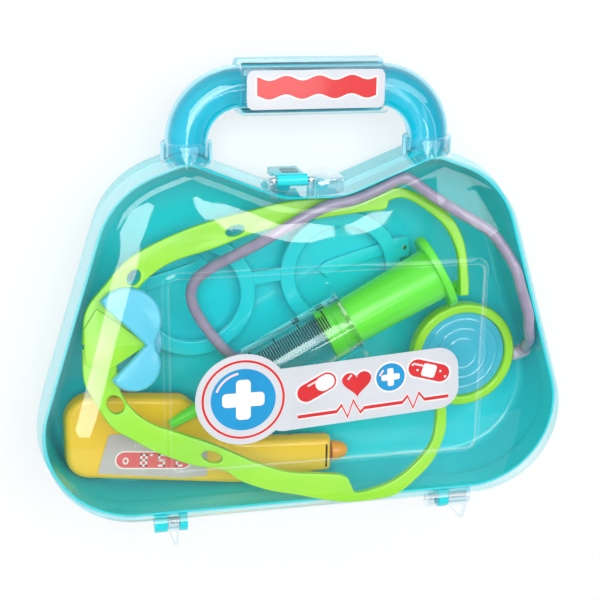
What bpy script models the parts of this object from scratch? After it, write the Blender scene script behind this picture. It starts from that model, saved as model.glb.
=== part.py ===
"""Toy doctor case: a teal back shell and a clear hinged lid with a carry
handle, holding a stethoscope, a syringe, a thermometer and a pair of glasses.

The case lies on its back: +Z points out of the clear lid, +Y points to the
handle and +X to the right. Drawing heights (y) are counted from the straight
bottom edge of the case, and one empty shifts the whole case so that its box
is centred on the origin. All sizes are metres.
"""
import math

import bmesh
import bpy
from mathutils import Matrix, Vector

# Clearances and meshing
GAP = 0.0003                 # running gap between touching pieces
CUT_OVERRUN = 0.004          # how far a cutting body passes the piece it cuts
MERGE = 0.00001              # distance at which coincident points are merged
ARC_STEP = math.radians(15)  # angle between two points of a rounded corner
ROUND_SIDES = 20             # sides of small turned parts

# Outline of both case halves, right half, as corner points and radii
BASE_HALF = 0.1401           # where the flank would meet the bottom edge
BASE_RADIUS = 0.044
SHOULDER_HALF = 0.0902
SHOULDER_Y = 0.1569
SHOULDER_RADIUS = 0.044
PEAK_HALF = 0.055            # under the handle collars
PEAK_Y = 0.1700
PEAK_RADIUS = 0.014
DIP_HALF = 0.013             # flat of the dip, where the latch sits
DIP_Y = 0.1530
DIP_RADIUS = 0.030

# Shells
BACK_DEPTH = 0.028
BACK_WALL = 0.0020
BACK_DRAFT = 0.0022
BACK_EDGE = 0.0060
LID_DEPTH = 0.024
LID_WALL = 0.0015
LID_DRAFT = 0.0012
LID_EDGE = 0.0070
LIP_HEIGHT = 0.0106          # collar of the back shell that stands inside the lid
LIP_ROOT = 0.0020            # how far its thicker foot reaches below the rim
LIP_SETBACK = 0.0011         # from the lid's wall at the rim, for the lid's draft and swing
LIP_WALL = 0.0010

# Raised field on the lid
PANEL_WIDTH = 0.1440
PANEL_HEIGHT = 0.0915
PANEL_X = 0.0045
PANEL_Y = 0.0757
PANEL_RISE = 0.0008
PANEL_RADIUS = 0.0045

# Carry handle
HANDLE_HALF = 0.0543
HANDLE_Y = 0.1972            # centre line of the cross bar
HANDLE_BEND = 0.0236
TUBE_RADIUS = 0.0094
TUBE_WALL = 0.0015
COLLAR_RADIUS = 0.0113
COLLAR_TOP_Y = 0.1745
COLLAR_SINK = 0.0055         # how far the collars reach into the top wall
GRIP_LENGTH = 0.0650
GRIP_HEIGHT = 0.0232
GRIP_THICK = 0.0236
GRIP_ROUND = 0.0045
GRIP_WALL = 0.0016

# Hinge at the bottom edge
HINGE_Y = -0.0065
KNUCKLE_RADIUS = 0.0052
PIN_RADIUS = 0.0013
FIN_REACH = 0.0125           # from the hinge axis to the tip of a fin
FIN_THICK = 0.0036
FIN_TIP = 0.0014
LEFT_HINGE_X = -0.0725       # left end of the left hinge
LEFT_KNUCKLE = 0.0062
LEFT_FIN = 0.0051
LEFT_KEEPER = 0.0038
RIGHT_HINGE_X = 0.0615       # left end of the right hinge
RIGHT_KNUCKLE = 0.0055
RIGHT_KEEPER = 0.0048
RIGHT_FIN = 0.0110

# Latch on the dip
LATCH_X = -0.0107
LATCH_WIDTH = 0.0134
LATCH_THICK = 0.0032
LATCH_STANDOFF = 0.0042      # from the dip to the flap's inner face
LATCH_PIVOT_Z = 0.0415
LATCH_LENGTH = 0.0215        # from the pivot to the free edge
LATCH_BARREL = 0.0026
LATCH_PIN_RADIUS = 0.0010
LUG_WIDTH = 0.0028
BEAD_HEIGHT = 0.0030
BEAD_WIDTH = 0.0065
TAB_X = 0.0063
TAB_WIDTH = 0.0124
TAB_THICK = 0.0022
TAB_ROUND = 0.0050

# Labels
LABEL_THICK = 0.0003
BADGE_X = -0.0340
BADGE_Y = 0.0630
BADGE_RADIUS = 0.0215
BANNER_X = 0.0200
BANNER_Y = 0.0640
BANNER_LENGTH = 0.0920
BANNER_HEIGHT = 0.0300
BANNER_ROUND = 0.0100
BANNER_TURN = math.radians(4)
GRIP_LABEL_LENGTH = 0.0600
GRIP_LABEL_HEIGHT = 0.0165
GRIP_LABEL_ROUND = 0.0030

# Stethoscope headset: flat arms in one plane, leaning towards the lid
YOKE_X = -0.0950
YOKE_Y = 0.0850
YOKE_Z = 0.0325
HEADSET_TILT = math.radians(-9.1)
HEADSET_LENGTH = 0.1790      # across both arms, from the yoke's back edge
HEADSET_SPREAD = 0.1470      # over both arms
YOKE_BACK_REACH = 0.0075     # from the yoke centre to its back edge
LOWER_REACH = 0.0815         # from the yoke centre down to the lower arm
ARM_THICK = 0.0040
ARM_EDGE = 0.0006
LOBE_THICK = 0.0060
LOBE_EDGE = 0.0014
WEDGE_THICK = 0.0030
YOKE_PLATE_THICK = 0.0040
YOKE_MOUTH = 0.0022
SOCKET_RADIUS = 0.0041
SOCKET_LENGTH = 0.0070       # from the hose's end into the yoke's back
SOCKET_SPOT = (0.0080, -0.0060)  # where it meets the plate, from the yoke centre
EAR_TIP_LENGTH = 0.0080
EAR_TIP_RADIUS = 0.0036
UPPER_LOBE_RADIUS = 0.0148
LOWER_LOBE_RADIUS = 0.0118
# Shares of HEADSET_LENGTH and HEADSET_SPREAD, from the back edge and from
# the lowest point of the lower arm
UPPER_OUTER_SHARES = (
    (0.000, 0.560), (0.012, 0.660), (0.060, 0.735), (0.134, 0.822), (0.272, 0.896),
    (0.433, 0.944), (0.553, 0.970), (0.715, 0.972), (0.770, 0.993), (0.838, 0.990),
    (0.940, 0.917), (0.988, 0.822), (1.002, 0.700), (1.002, 0.645))
UPPER_INNER_SHARES = (
    (0.979, 0.645), (0.978, 0.700), (0.970, 0.790), (0.930, 0.880), (0.842, 0.957),
    (0.792, 0.958), (0.776, 0.930), (0.715, 0.924), (0.588, 0.907), (0.441, 0.874),
    (0.334, 0.832), (0.222, 0.793), (0.150, 0.730), (0.125, 0.660), (0.118, 0.560))
LOWER_OUTER_SHARES = (
    (0.000, 0.550), (0.000, 0.455), (0.020, 0.395), (0.062, 0.305), (0.110, 0.262),
    (0.175, 0.212), (0.262, 0.164), (0.340, 0.140), (0.385, 0.100), (0.458, 0.062),
    (0.530, 0.040), (0.600, 0.016), (0.665, 0.000), (0.741, 0.000), (0.800, 0.012),
    (0.852, 0.055), (0.903, 0.116), (0.934, 0.195), (0.940, 0.250), (0.938, 0.310))
LOWER_INNER_SHARES = (
    (0.912, 0.310), (0.911, 0.250), (0.897, 0.172), (0.850, 0.107), (0.798, 0.062),
    (0.741, 0.038), (0.690, 0.030), (0.676, 0.058), (0.650, 0.092), (0.513, 0.116),
    (0.428, 0.155), (0.372, 0.190), (0.305, 0.232), (0.230, 0.270), (0.164, 0.305),
    (0.118, 0.352), (0.090, 0.412), (0.083, 0.478), (0.088, 0.550))
HOLE_SHARES = {              # place, length and width as shares, and turn
    "upper_round": ((0.133, 0.757), 0.042, 0.030, math.radians(60)),
    "upper_slot": ((0.389, 0.885), 0.050, 0.026, math.radians(15)),
    "lower_round": ((0.075, 0.372), 0.050, 0.040, math.radians(-60)),
    "lower_slot": ((0.312, 0.184), 0.055, 0.028, math.radians(-22)),
}

# Hose: its own route, chosen by hand, from the stem to the back of the yoke
HOSE_DIAMETER = 0.0052
HOSE_POINTS = (
    (0.1105, 0.0687, 0.0243), (0.1103, 0.0714, 0.0274), (0.1097, 0.0746, 0.0308),
    (0.1079, 0.0784, 0.0340), (0.1060, 0.0832, 0.0366), (0.1049, 0.0890, 0.0380),
    (0.1028, 0.0954, 0.0382), (0.1002, 0.1028, 0.0378), (0.0980, 0.1104, 0.0369),
    (0.0952, 0.1160, 0.0356), (0.0913, 0.1221, 0.0344), (0.0858, 0.1288, 0.0334),
    (0.0780, 0.1341, 0.0326), (0.0692, 0.1391, 0.0322), (0.0608, 0.1443, 0.0320),
    (0.0529, 0.1497, 0.0320), (0.0471, 0.1540, 0.0320), (0.0437, 0.1557, 0.0320),
    (0.0400, 0.1551, 0.0320), (0.0345, 0.1526, 0.0320), (0.0286, 0.1498, 0.0320),
    (0.0188, 0.1464, 0.0320), (0.0082, 0.1442, 0.0316), (-0.0043, 0.1385, 0.0314),
    (-0.0146, 0.1326, 0.0308), (-0.0225, 0.1276, 0.0284), (-0.0296, 0.1228, 0.0248),
    (-0.0362, 0.1182, 0.0206), (-0.0432, 0.1132, 0.0168), (-0.0490, 0.1077, 0.0143),
    (-0.0514, 0.1010, 0.0130), (-0.0500, 0.0938, 0.0126), (-0.0466, 0.0870, 0.0124),
    (-0.0428, 0.0812, 0.0124), (-0.0391, 0.0761, 0.0125), (-0.0358, 0.0720, 0.0120),
    (-0.0326, 0.0686, 0.0100), (-0.0292, 0.0654, 0.0077), (-0.0253, 0.0626, 0.0060),
    (-0.0200, 0.0594, 0.0057), (-0.0140, 0.0556, 0.0057), (-0.0085, 0.0506, 0.0054),
    (-0.0058, 0.0440, 0.0054), (-0.0072, 0.0372, 0.0054), (-0.0122, 0.0324, 0.0054),
    (-0.0195, 0.0308, 0.0054), (-0.0280, 0.0312, 0.0054), (-0.0370, 0.0328, 0.0054),
    (-0.0460, 0.0350, 0.0054), (-0.0550, 0.0376, 0.0054), (-0.0640, 0.0407, 0.0054),
    (-0.0725, 0.0447, 0.0054), (-0.0802, 0.0495, 0.0054), (-0.0867, 0.0550, 0.0054),
    (-0.0908, 0.0608, 0.0068), (-0.0924, 0.0660, 0.0100), (-0.0923, 0.0702, 0.0142))
HOSE_START_STRAIGHT = 0.0030 # straight run out of the chest piece's elbow

# Chest piece
CHEST_SIDE_X = 0.1057        # the ring's right side, a stem's bend from the wall
CHEST_HIGH_Y = 0.0908        # the ring's highest point, under the thumb rest
CHEST_RADIUS = 0.0260
RING_WIDTH = 0.0045
RING_HEIGHT = 0.0075
CHEST_TOP_Z = 0.0225
CHEST_BODY_HEIGHT = 0.0202
BODY_WALL = 0.0020
DIAPHRAGM_THICK = 0.0012
DIAPHRAGM_SINK = 0.0020
STEM_RADIUS = 0.0034
STEM_BEND = 0.0045
STEM_STRAIGHT = 0.0008
STEM_Y = -0.0022             # from the middle of the chest piece
STEM_Z = 0.0180
STEM_RISE = math.radians(45)

# Syringe, from the tip of its nozzle to its thumb rest
THUMB_X = 0.06474
THUMB_Y = 0.10951
TIP_Z = 0.0239
SYRINGE_TURN = math.radians(28.2)
BARREL_RADIUS = 0.0146
BARREL_WALL = 0.0012
BARREL_LENGTH = 0.0527
NOZZLE_LENGTH = 0.0442
NOZZLE_TIP_RADIUS = 0.0022
NOZZLE_ROOT_RADIUS = 0.0050
NOZZLE_BASE = 0.0030
FLANGE_LENGTH = 0.0447
FLANGE_DEPTH = 0.0290
FLANGE_THICK = 0.0024
PLUNGER_OUT = 0.0485         # from the flange to the thumb rest
PLUNGER_FACE = 0.0138        # how far the piston reaches into the barrel
PISTON_LENGTH = 0.0060
PLUNGER_ROOT_RADIUS = 0.0113
PLUNGER_END_RADIUS = 0.0127
THUMB_LENGTH = 0.0374
THUMB_DEPTH = 0.0290
THUMB_THICK = 0.0040

# Thermometer
THERMO_X = -0.1126           # left end
THERMO_Y = 0.0045            # lowest point
THERMO_Z = 0.0087
THERMO_LENGTH = 0.1286
THERMO_HEIGHT = 0.0524       # from the lowest point to the top of the head
THERMO_THICK = 0.0112
THERMO_WALL = 0.0016
THERMO_EDGE = 0.0030
THERMO_DRAFT = 0.0006
THERMO_TIP_LENGTH = 0.0085
THERMO_TIP_RADIUS = 0.0050
THERMO_LABEL_THICK = 0.0003
THERMO_CORNER_SHARES = (     # corner x and y, and radius, as shares
    (0.004, 0.200, 0.09), (0.004, 1.000, 0.10), (0.440, 0.905, 0.05), (0.640, 0.440, 0.06),
    (1.000, 0.400, 0.02), (1.000, 0.060, 0.02), (0.640, 0.000, 0.08))
THERMO_LABEL_SHARES = (
    (0.105, 0.290, 0.01), (0.165, 0.640, 0.01), (0.420, 0.640, 0.01), (0.570, 0.400, 0.02),
    (0.880, 0.360, 0.02), (0.880, 0.120, 0.02), (0.560, 0.110, 0.02))

# Glasses, folded, front frame over the temples
GLASSES_Z = 0.0023
GLASSES_TURN = math.radians(6.5)
LEFT_LENS_X = -0.0497
LEFT_LENS_Y = 0.0979
LENS_PITCH = 0.0712
LENS_OUTER = 0.0295
LENS_RIM = 0.0072
FRAME_THICK = 0.0036
BRIDGE_HEIGHT = 0.0060
END_LENGTH = 0.0095
END_HEIGHT = 0.0100
TEMPLE_THICK = 0.0026
TEMPLE_HEIGHT = 0.0062
TEMPLE_LENGTH = 0.1000
TEMPLE_TIP_DROP = 0.0120
TEMPLE_DROP = 0.0080         # how far below the lens line the temples fold
TEMPLE_PIN_RADIUS = 0.0012

# Worked out from the sizes above
PARTING_Z = BACK_DEPTH
CASE_DEPTH = BACK_DEPTH + LID_DEPTH
TOP_Y = HANDLE_Y + GRIP_HEIGHT / 2
BOTTOM_Y = HINGE_Y - FIN_REACH
CENTRE_Y = (TOP_Y + BOTTOM_Y) / 2
LATCH_Y = DIP_Y + LATCH_STANDOFF + LATCH_THICK / 2
CHEST_X = CHEST_SIDE_X - CHEST_RADIUS
CHEST_Y = CHEST_HIGH_Y - CHEST_RADIUS
SYRINGE_LENGTH = NOZZLE_LENGTH + BARREL_LENGTH + PLUNGER_OUT
TIP_X = THUMB_X - SYRINGE_LENGTH * math.cos(SYRINGE_TURN)
TIP_Y = THUMB_Y - SYRINGE_LENGTH * math.sin(SYRINGE_TURN)

for old in list(bpy.data.objects):
    bpy.data.objects.remove(old, do_unlink=True)

CASE = bpy.data.collections.new("toy_doctor_case")
CUTTERS = bpy.data.collections.new("cutting_bodies")
bpy.context.scene.collection.children.link(CASE)
bpy.context.scene.collection.children.link(CUTTERS)


def material(name, colour, roughness=0.35, metallic=0.0, alpha=1.0):
    """A moulded plastic of one colour."""
    made = bpy.data.materials.new(name)
    made.use_nodes = True
    shader = made.node_tree.nodes["Principled BSDF"]
    shader.inputs["Base Color"].default_value = (*colour, 1.0)
    shader.inputs["Roughness"].default_value = roughness
    shader.inputs["Metallic"].default_value = metallic
    shader.inputs["Alpha"].default_value = alpha
    return made


TEAL = material("teal_polystyrene", (0.0, 0.48, 0.56), 0.25)
CLEAR = material("clear_polystyrene", (0.80, 0.92, 0.96), 0.08, alpha=0.35)
LIME = material("lime_plastic", (0.35, 0.80, 0.03), 0.35)
GREEN = material("bright_green_plastic", (0.14, 0.85, 0.05), 0.30)
SKY = material("light_blue_plastic", (0.10, 0.55, 0.78), 0.35)
YELLOW = material("yellow_plastic", (0.95, 0.60, 0.03), 0.35)
ORANGE = material("orange_plastic", (0.85, 0.35, 0.02), 0.35)
HOSE_GREY = material("lavender_hose", (0.45, 0.40, 0.52), 0.35)
SILVER = material("silver_film", (0.62, 0.65, 0.68), 0.35, 0.5)
STEEL = material("steel_pin", (0.60, 0.60, 0.62), 0.25, 1.0)
BLUE_FILM = material("blue_diaphragm", (0.02, 0.50, 0.70), 0.20, alpha=0.8)


def empty(name, place, parent=None):
    """A named empty at a drawing position."""
    made = bpy.data.objects.new(name, None)
    made.location = place
    made.parent = parent
    CASE.objects.link(made)
    return made


FRAME = empty("case_frame", (0, -CENTRE_Y, 0))


def add(name, mesh, finish=None, cutter=False, matrix=None, parent=FRAME):
    """Puts a mesh in the model, or beside it as a cutting body."""
    made = bpy.data.objects.new(name, mesh)
    (CUTTERS if cutter else CASE).objects.link(made)
    made.parent = parent
    if matrix is not None:
        made.matrix_local = matrix
    if finish is not None:
        mesh.materials.append(finish)
    if cutter:
        made.display_type = 'WIRE'
        made.hide_render = True
    return made


def from_bmesh(name, bm):
    """Welds a bmesh, turns its faces outwards and returns it as a mesh."""
    bmesh.ops.remove_doubles(bm, verts=bm.verts, dist=MERGE)
    bmesh.ops.recalc_face_normals(bm, faces=bm.faces)
    mesh = bpy.data.meshes.new(name)
    bm.to_mesh(mesh)
    bm.free()
    return mesh


def curve_to_mesh(name, curve):
    """Evaluates a curve, welds its caps and returns the mesh."""
    holder = bpy.data.objects.new(name + "_curve", curve)
    bpy.context.scene.collection.objects.link(holder)
    evaluated = holder.evaluated_get(bpy.context.evaluated_depsgraph_get())
    bm = bmesh.new()
    raw = bpy.data.meshes.new_from_object(evaluated)
    bm.from_mesh(raw)
    bpy.data.objects.remove(holder, do_unlink=True)
    bpy.data.meshes.remove(raw)
    return from_bmesh(name, bm)


def boolean(target, other, operation):
    """Adds an exact Boolean with another body."""
    step = target.modifiers.new(operation.lower(), 'BOOLEAN')
    step.object = other
    step.operation = operation
    step.solver = 'EXACT'


def smooth(mesh, angle=math.radians(35)):
    """Shades round faces smooth and keeps the edges crisp."""
    mesh.shade_smooth()
    mesh.set_sharp_from_angle(angle=angle)


def rounded(corners):
    """Closed outline with each corner (x, y, radius) replaced by an arc."""
    points = []
    for index, (x, y, radius) in enumerate(corners):
        here = Vector((x, y))
        back = (Vector(corners[index - 1][:2]) - here).normalized()
        ahead = (Vector(corners[(index + 1) % len(corners)][:2]) - here).normalized()
        half = math.acos(max(-1, min(1, back.dot(ahead)))) / 2
        if radius <= 0 or half > math.radians(89):
            points.append(here)
            continue
        centre = here + (back + ahead).normalized() * (radius / math.sin(half))
        start = here + back * (radius / math.tan(half)) - centre
        sweep = math.pi - 2 * half
        side = 1 if back.cross(ahead) < 0 else -1
        steps = max(1, round(sweep / ARC_STEP))
        for step in range(steps + 1):
            points.append(centre + Matrix.Rotation(side * sweep * step / steps, 2) @ start)
    return points


def inset(points, distance):
    """Moves each point of a counter-clockwise outline inwards."""
    moved = []
    for index, here in enumerate(points):
        first = (here - points[index - 1]).normalized()
        second = (points[(index + 1) % len(points)] - here).normalized()
        normal = (Vector((-first.y, first.x)) + Vector((-second.y, second.x))).normalized()
        moved.append(here + normal * (distance / max(0.3, normal.dot(Vector((-first.y, first.x))))))
    return moved


def smooth_line(points, steps):
    """A Catmull-Rom curve through the points, open, of any dimension."""
    points = [Vector(point) for point in points]
    ends = [2 * points[0] - points[1]] + points + [2 * points[-1] - points[-2]]
    line = []
    for a, b, c, d in zip(ends, ends[1:], ends[2:], ends[3:]):
        for step in range(steps):
            t = step / steps
            line.append(0.5 * (2 * b + (c - a) * t + (2 * a - 5 * b + 4 * c - d) * t ** 2
                               + (3 * b - a - 3 * c + d) * t ** 3))
    line.append(points[-1])
    return line


def ellipse(centre, length, width, turn, count=14):
    """Points of a turned ellipse."""
    spin = Matrix.Rotation(turn, 2)
    angles = [2 * math.pi * step / count for step in range(count)]
    return [Vector(centre) + spin @ Vector((length / 2 * math.cos(a), width / 2 * math.sin(a)))
            for a in angles]


def plate(name, outlines, low_z, thickness, edge=0.0):
    """A flat plate with holes: the first outline is its rim."""
    curve = bpy.data.curves.new(name, 'CURVE')
    curve.dimensions = '2D'
    curve.fill_mode = 'BOTH'
    curve.extrude = thickness / 2 - edge
    curve.bevel_depth = edge
    curve.bevel_resolution = 1
    curve.offset = -edge
    for points in outlines:
        spline = curve.splines.new('POLY')
        spline.points.add(len(points) - 1)
        for target, point in zip(spline.points, points):
            target.co = (point.x, point.y, 0, 1)
        spline.use_cyclic_u = True
    mesh = curve_to_mesh(name, curve)
    mesh.transform(Matrix.Translation((0, 0, low_z + thickness / 2)))
    smooth(mesh)
    return mesh


def tray(name, outline, rim_z, floor_z, draft, edge, wall, lip=None, steps=3):
    """An open tray: its rim narrows by the draft, then rounds into the floor.

    The lip, if any, is a ring (inner inset, outer inset, height, root) on the rim.
    """
    up = 1 if rim_z > floor_z else -1
    outside, inside = [], []
    for step in range(steps + 1):
        angle = math.pi / 2 * step / steps
        drop, side = 1 - math.cos(angle), 1 - math.sin(angle)
        outside.append((floor_z + up * edge * drop, draft + edge * side))
        inside.append((floor_z + up * (wall + (edge - wall) * drop),
                       draft + wall + (edge - wall) * side))
    levels = outside + [(rim_z, 0)]
    if lip:
        inner, outer, height, root = lip
        levels += [(rim_z, outer), (rim_z + up * height, outer), (rim_z + up * height, inner),
                   (rim_z - up * root, inner), (rim_z - up * root, wall)]
    else:
        levels += [(rim_z, wall)]
    levels += list(reversed(inside))
    bm = bmesh.new()
    rings = [[bm.verts.new((p.x, p.y, z)) for p in inset(outline, distance)]
             for z, distance in levels]
    for lower, upper in zip(rings, rings[1:]):
        for index in range(len(outline)):
            bm.faces.new((lower[index - 1], lower[index], upper[index], upper[index - 1]))
    bm.faces.new(rings[0])
    bm.faces.new(rings[-1])
    mesh = from_bmesh(name, bm)
    smooth(mesh)
    return mesh


def block(name, low, high, edge=0.0, cutter=True, finish=None, segments=2):
    """A box between two corners, with rounded edges if asked."""
    bm = bmesh.new()
    bmesh.ops.create_cube(bm, size=1)
    size = Vector(high) - Vector(low)
    middle = (Vector(high) + Vector(low)) / 2
    bmesh.ops.transform(bm, matrix=Matrix.Translation(middle) @ Matrix.Diagonal((*size, 1)),
                        verts=bm.verts)
    if edge > 0:
        bmesh.ops.bevel(bm, geom=bm.edges, offset=edge, segments=segments, profile=0.5,
                        affect='EDGES')
    mesh = from_bmesh(name, bm)
    smooth(mesh)
    return add(name, mesh, finish, cutter)


def cylinder(name, start, axis, length, radius, end_radius=None, sides=ROUND_SIDES,
             cutter=True, finish=None, matrix=None):
    """A round body from a start point along an axis."""
    bm = bmesh.new()
    bmesh.ops.create_cone(bm, cap_ends=True, segments=sides, radius1=radius,
                          radius2=radius if end_radius is None else end_radius, depth=length)
    spin = Vector((0, 0, 1)).rotation_difference(Vector(axis)).to_matrix().to_4x4()
    place = Matrix.Translation(Vector(start)) @ spin @ Matrix.Translation((0, 0, length / 2))
    bmesh.ops.transform(bm, matrix=place, verts=bm.verts)
    mesh = from_bmesh(name, bm)
    smooth(mesh)
    return add(name, mesh, finish, cutter, matrix)


def turned(name, profile, finish, matrix, cutter=False, sides=ROUND_SIDES):
    """A profile of (radius, height) points turned about Z by a Screw."""
    mesh = bpy.data.meshes.new(name)
    points = [(radius, 0, height) for radius, height in profile]
    closed = profile[0][0] > 0
    edges = [(index, index + 1) for index in range(len(points) - 1)]
    if closed:
        edges.append((len(points) - 1, 0))
    mesh.from_pydata(points, edges, [])
    made = add(name, mesh, finish, cutter, matrix)
    screw = made.modifiers.new("turning", 'SCREW')
    screw.steps = sides
    screw.render_steps = sides
    screw.use_merge_vertices = True
    screw.merge_threshold = MERGE
    screw.use_smooth_shade = True
    return made


def tube_mesh(name, points, radius, resolution):
    """A filled tube along points."""
    curve = bpy.data.curves.new(name, 'CURVE')
    curve.dimensions = '3D'
    curve.bevel_depth = radius
    curve.bevel_resolution = resolution
    curve.use_fill_caps = True
    spline = curve.splines.new('POLY')
    spline.points.add(len(points) - 1)
    for target, point in zip(spline.points, points):
        target.co = (*point, 1)
    return curve_to_mesh(name, curve)


def case_outline():
    """Counter-clockwise outline shared by the back shell and the lid."""
    right = [(BASE_HALF, 0, BASE_RADIUS), (SHOULDER_HALF, SHOULDER_Y, SHOULDER_RADIUS),
             (PEAK_HALF, PEAK_Y, PEAK_RADIUS), (DIP_HALF, DIP_Y, DIP_RADIUS)]
    left = [(-x, y, radius) for x, y, radius in reversed(right)]
    return rounded(right + left)


def rectangle(width, height, radius, x=0.0, y=0.0, turn=0.0):
    """A rounded rectangle about a centre."""
    half_x, half_y = width / 2, height / 2
    spin = Matrix.Rotation(turn, 2)
    corners = []
    for sx, sy in ((-1, -1), (1, -1), (1, 1), (-1, 1)):
        corner = spin @ Vector((sx * half_x, sy * half_y)) + Vector((x, y))
        corners.append((corner.x, corner.y, radius))
    return rounded(corners)


def handle_path(foot):
    """Centre line of the handle: up a leg, across and down the other leg."""
    points = [(-HANDLE_HALF, foot)]
    steps = round(math.pi / 2 / ARC_STEP)
    for step in range(steps + 1):
        angle = math.pi - math.pi / 2 * step / steps
        points.append((-HANDLE_HALF + HANDLE_BEND * (1 + math.cos(angle)),
                       HANDLE_Y - HANDLE_BEND * (1 - math.sin(angle))))
    mirrored = [(-x, y) for x, y in reversed(points)]
    return [(x, y, PARTING_Z) for x, y in points + mirrored]


def handle_bodies():
    """The handle's outer form and hollow, shared by both halves."""
    foot = PEAK_Y - COLLAR_SINK
    hollow = add("handle_hollow", tube_mesh("handle_hollow", handle_path(foot + GAP),
                                            TUBE_RADIUS - TUBE_WALL, 4), cutter=True)
    half = Vector((GRIP_LENGTH, GRIP_HEIGHT, GRIP_THICK)) / 2
    middle = Vector((0, HANDLE_Y, PARTING_Z))
    wall = Vector((GRIP_WALL, GRIP_WALL, GRIP_WALL))
    grip = block("grip_form", middle - half, middle + half, GRIP_ROUND)
    grip_hollow = block("grip_hollow", middle - half + wall, middle + half - wall,
                        GRIP_ROUND - GRIP_WALL)
    collars = [cylinder(name, (x, foot, PARTING_Z), (0, 1, 0), COLLAR_TOP_Y - foot, COLLAR_RADIUS)
               for name, x in (("collar_left", -HANDLE_HALF), ("collar_right", HANDLE_HALF))]
    return [grip, *collars], [hollow, grip_hollow]


def half_handle(name, forms, hollows, keep_low):
    """One moulded half of the handle, open at the parting plane."""
    made = add(name, tube_mesh(name, handle_path(PEAK_Y - COLLAR_SINK),
                               TUBE_RADIUS, 6), cutter=True)
    for form in forms:
        boolean(made, form, 'UNION')
    reach = HANDLE_HALF + COLLAR_RADIUS + CUT_OVERRUN
    high = GRIP_THICK / 2 + CUT_OVERRUN
    low_z, high_z = (-GAP / 2, high) if keep_low else (-high, GAP / 2)
    away = block(name + "_away", (-reach, 0, PARTING_Z + low_z),
                 (reach, TOP_Y + CUT_OVERRUN, PARTING_Z + high_z))
    boolean(made, away, 'DIFFERENCE')
    room = add(name + "_room", plate(name + "_room", [inset(case_outline(), LID_WALL - GAP / 2)],
                                     -CUT_OVERRUN, CASE_DEPTH + 2 * CUT_OVERRUN), cutter=True)
    boolean(made, room, 'DIFFERENCE')
    for hollow in hollows:
        boolean(made, hollow, 'DIFFERENCE')
    return made


def knuckle(name, x, width, keep_low):
    """A hinge barrel with the arm that carries it."""
    barrel = cylinder(name, (x, HINGE_Y, PARTING_Z), (1, 0, 0), width, KNUCKLE_RADIUS)
    reach = BACK_WALL if keep_low else LID_WALL
    side = -1 if keep_low else 1
    z = sorted((PARTING_Z + side * GAP, PARTING_Z + side * KNUCKLE_RADIUS))
    arm = block(name + "_arm", (x, HINGE_Y, z[0]), (x + width, reach / 2, z[1]))
    boolean(barrel, arm, 'UNION')
    return barrel


def fin(name, x, width, tip_x):
    """The pointed tab that stops the open lid against the back shell."""
    root_y = HINGE_Y - KNUCKLE_RADIUS / 2
    tip_y = HINGE_Y - FIN_REACH
    outline = [Vector((tip_x - FIN_TIP / 2, tip_y)), Vector((tip_x + FIN_TIP / 2, tip_y)),
               Vector((x + width, root_y)), Vector((x, root_y))]
    return add(name, plate(name, [outline], PARTING_Z - FIN_THICK / 2, FIN_THICK), cutter=True)


def hinge_places():
    """Start and width of each barrel: for the back shell and for the lid."""
    left_fin_x = LEFT_HINGE_X + LEFT_KNUCKLE + GAP
    left_keeper_x = left_fin_x + LEFT_FIN + GAP
    right_keeper_x = RIGHT_HINGE_X + RIGHT_KNUCKLE + GAP
    right_fin_x = right_keeper_x + RIGHT_KEEPER + GAP
    back = [(LEFT_HINGE_X, LEFT_KNUCKLE), (left_keeper_x, LEFT_KEEPER),
            (right_keeper_x, RIGHT_KEEPER)]
    lid = [(left_fin_x, LEFT_FIN), (RIGHT_HINGE_X, RIGHT_KNUCKLE), (right_fin_x, RIGHT_FIN)]
    return back, lid


def pin_bores(target):
    """Bores for the two hinge pins."""
    bore = PIN_RADIUS + GAP
    for name, x, length in (("left", LEFT_HINGE_X, LEFT_KNUCKLE + LEFT_FIN + LEFT_KEEPER),
                            ("right", RIGHT_HINGE_X, RIGHT_KNUCKLE + RIGHT_KEEPER + RIGHT_FIN)):
        cut = cylinder(target.name + name, (x - CUT_OVERRUN, HINGE_Y, PARTING_Z), (1, 0, 0),
                       length + 2 * CUT_OVERRUN, bore, sides=12)
        boolean(target, cut, 'DIFFERENCE')


def make_back_shell(outline, forms, hollows):
    """Teal tray with the rear half of the handle, a lip and hinge barrels."""
    outer = LID_WALL + LIP_SETBACK
    lip = (outer + LIP_WALL, outer, LIP_HEIGHT, LIP_ROOT)
    shell = add("back_shell", tray("back_shell", outline, PARTING_Z - GAP / 2, 0, BACK_DRAFT,
                                   BACK_EDGE, BACK_WALL, lip), TEAL)
    boolean(shell, half_handle("handle_rear", forms, hollows, True), 'UNION')
    for index, (x, width) in enumerate(hinge_places()[0]):
        boolean(shell, knuckle("back_barrel_%d" % index, x, width, True), 'UNION')
    inner = DIP_Y + LATCH_STANDOFF - GAP
    low = PARTING_Z - 2 * BEAD_HEIGHT
    for name, x in (("latch_bead", LATCH_X), ("tab_bead", TAB_X)):
        bead = block(name, (x - BEAD_WIDTH / 2, DIP_Y - BACK_WALL / 2 - BACK_DRAFT / 2, low),
                     (x + BEAD_WIDTH / 2, inner, low + BEAD_HEIGHT), LIP_WALL / 2)
        boolean(shell, bead, 'UNION')
    pin_bores(shell)
    return shell


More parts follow.
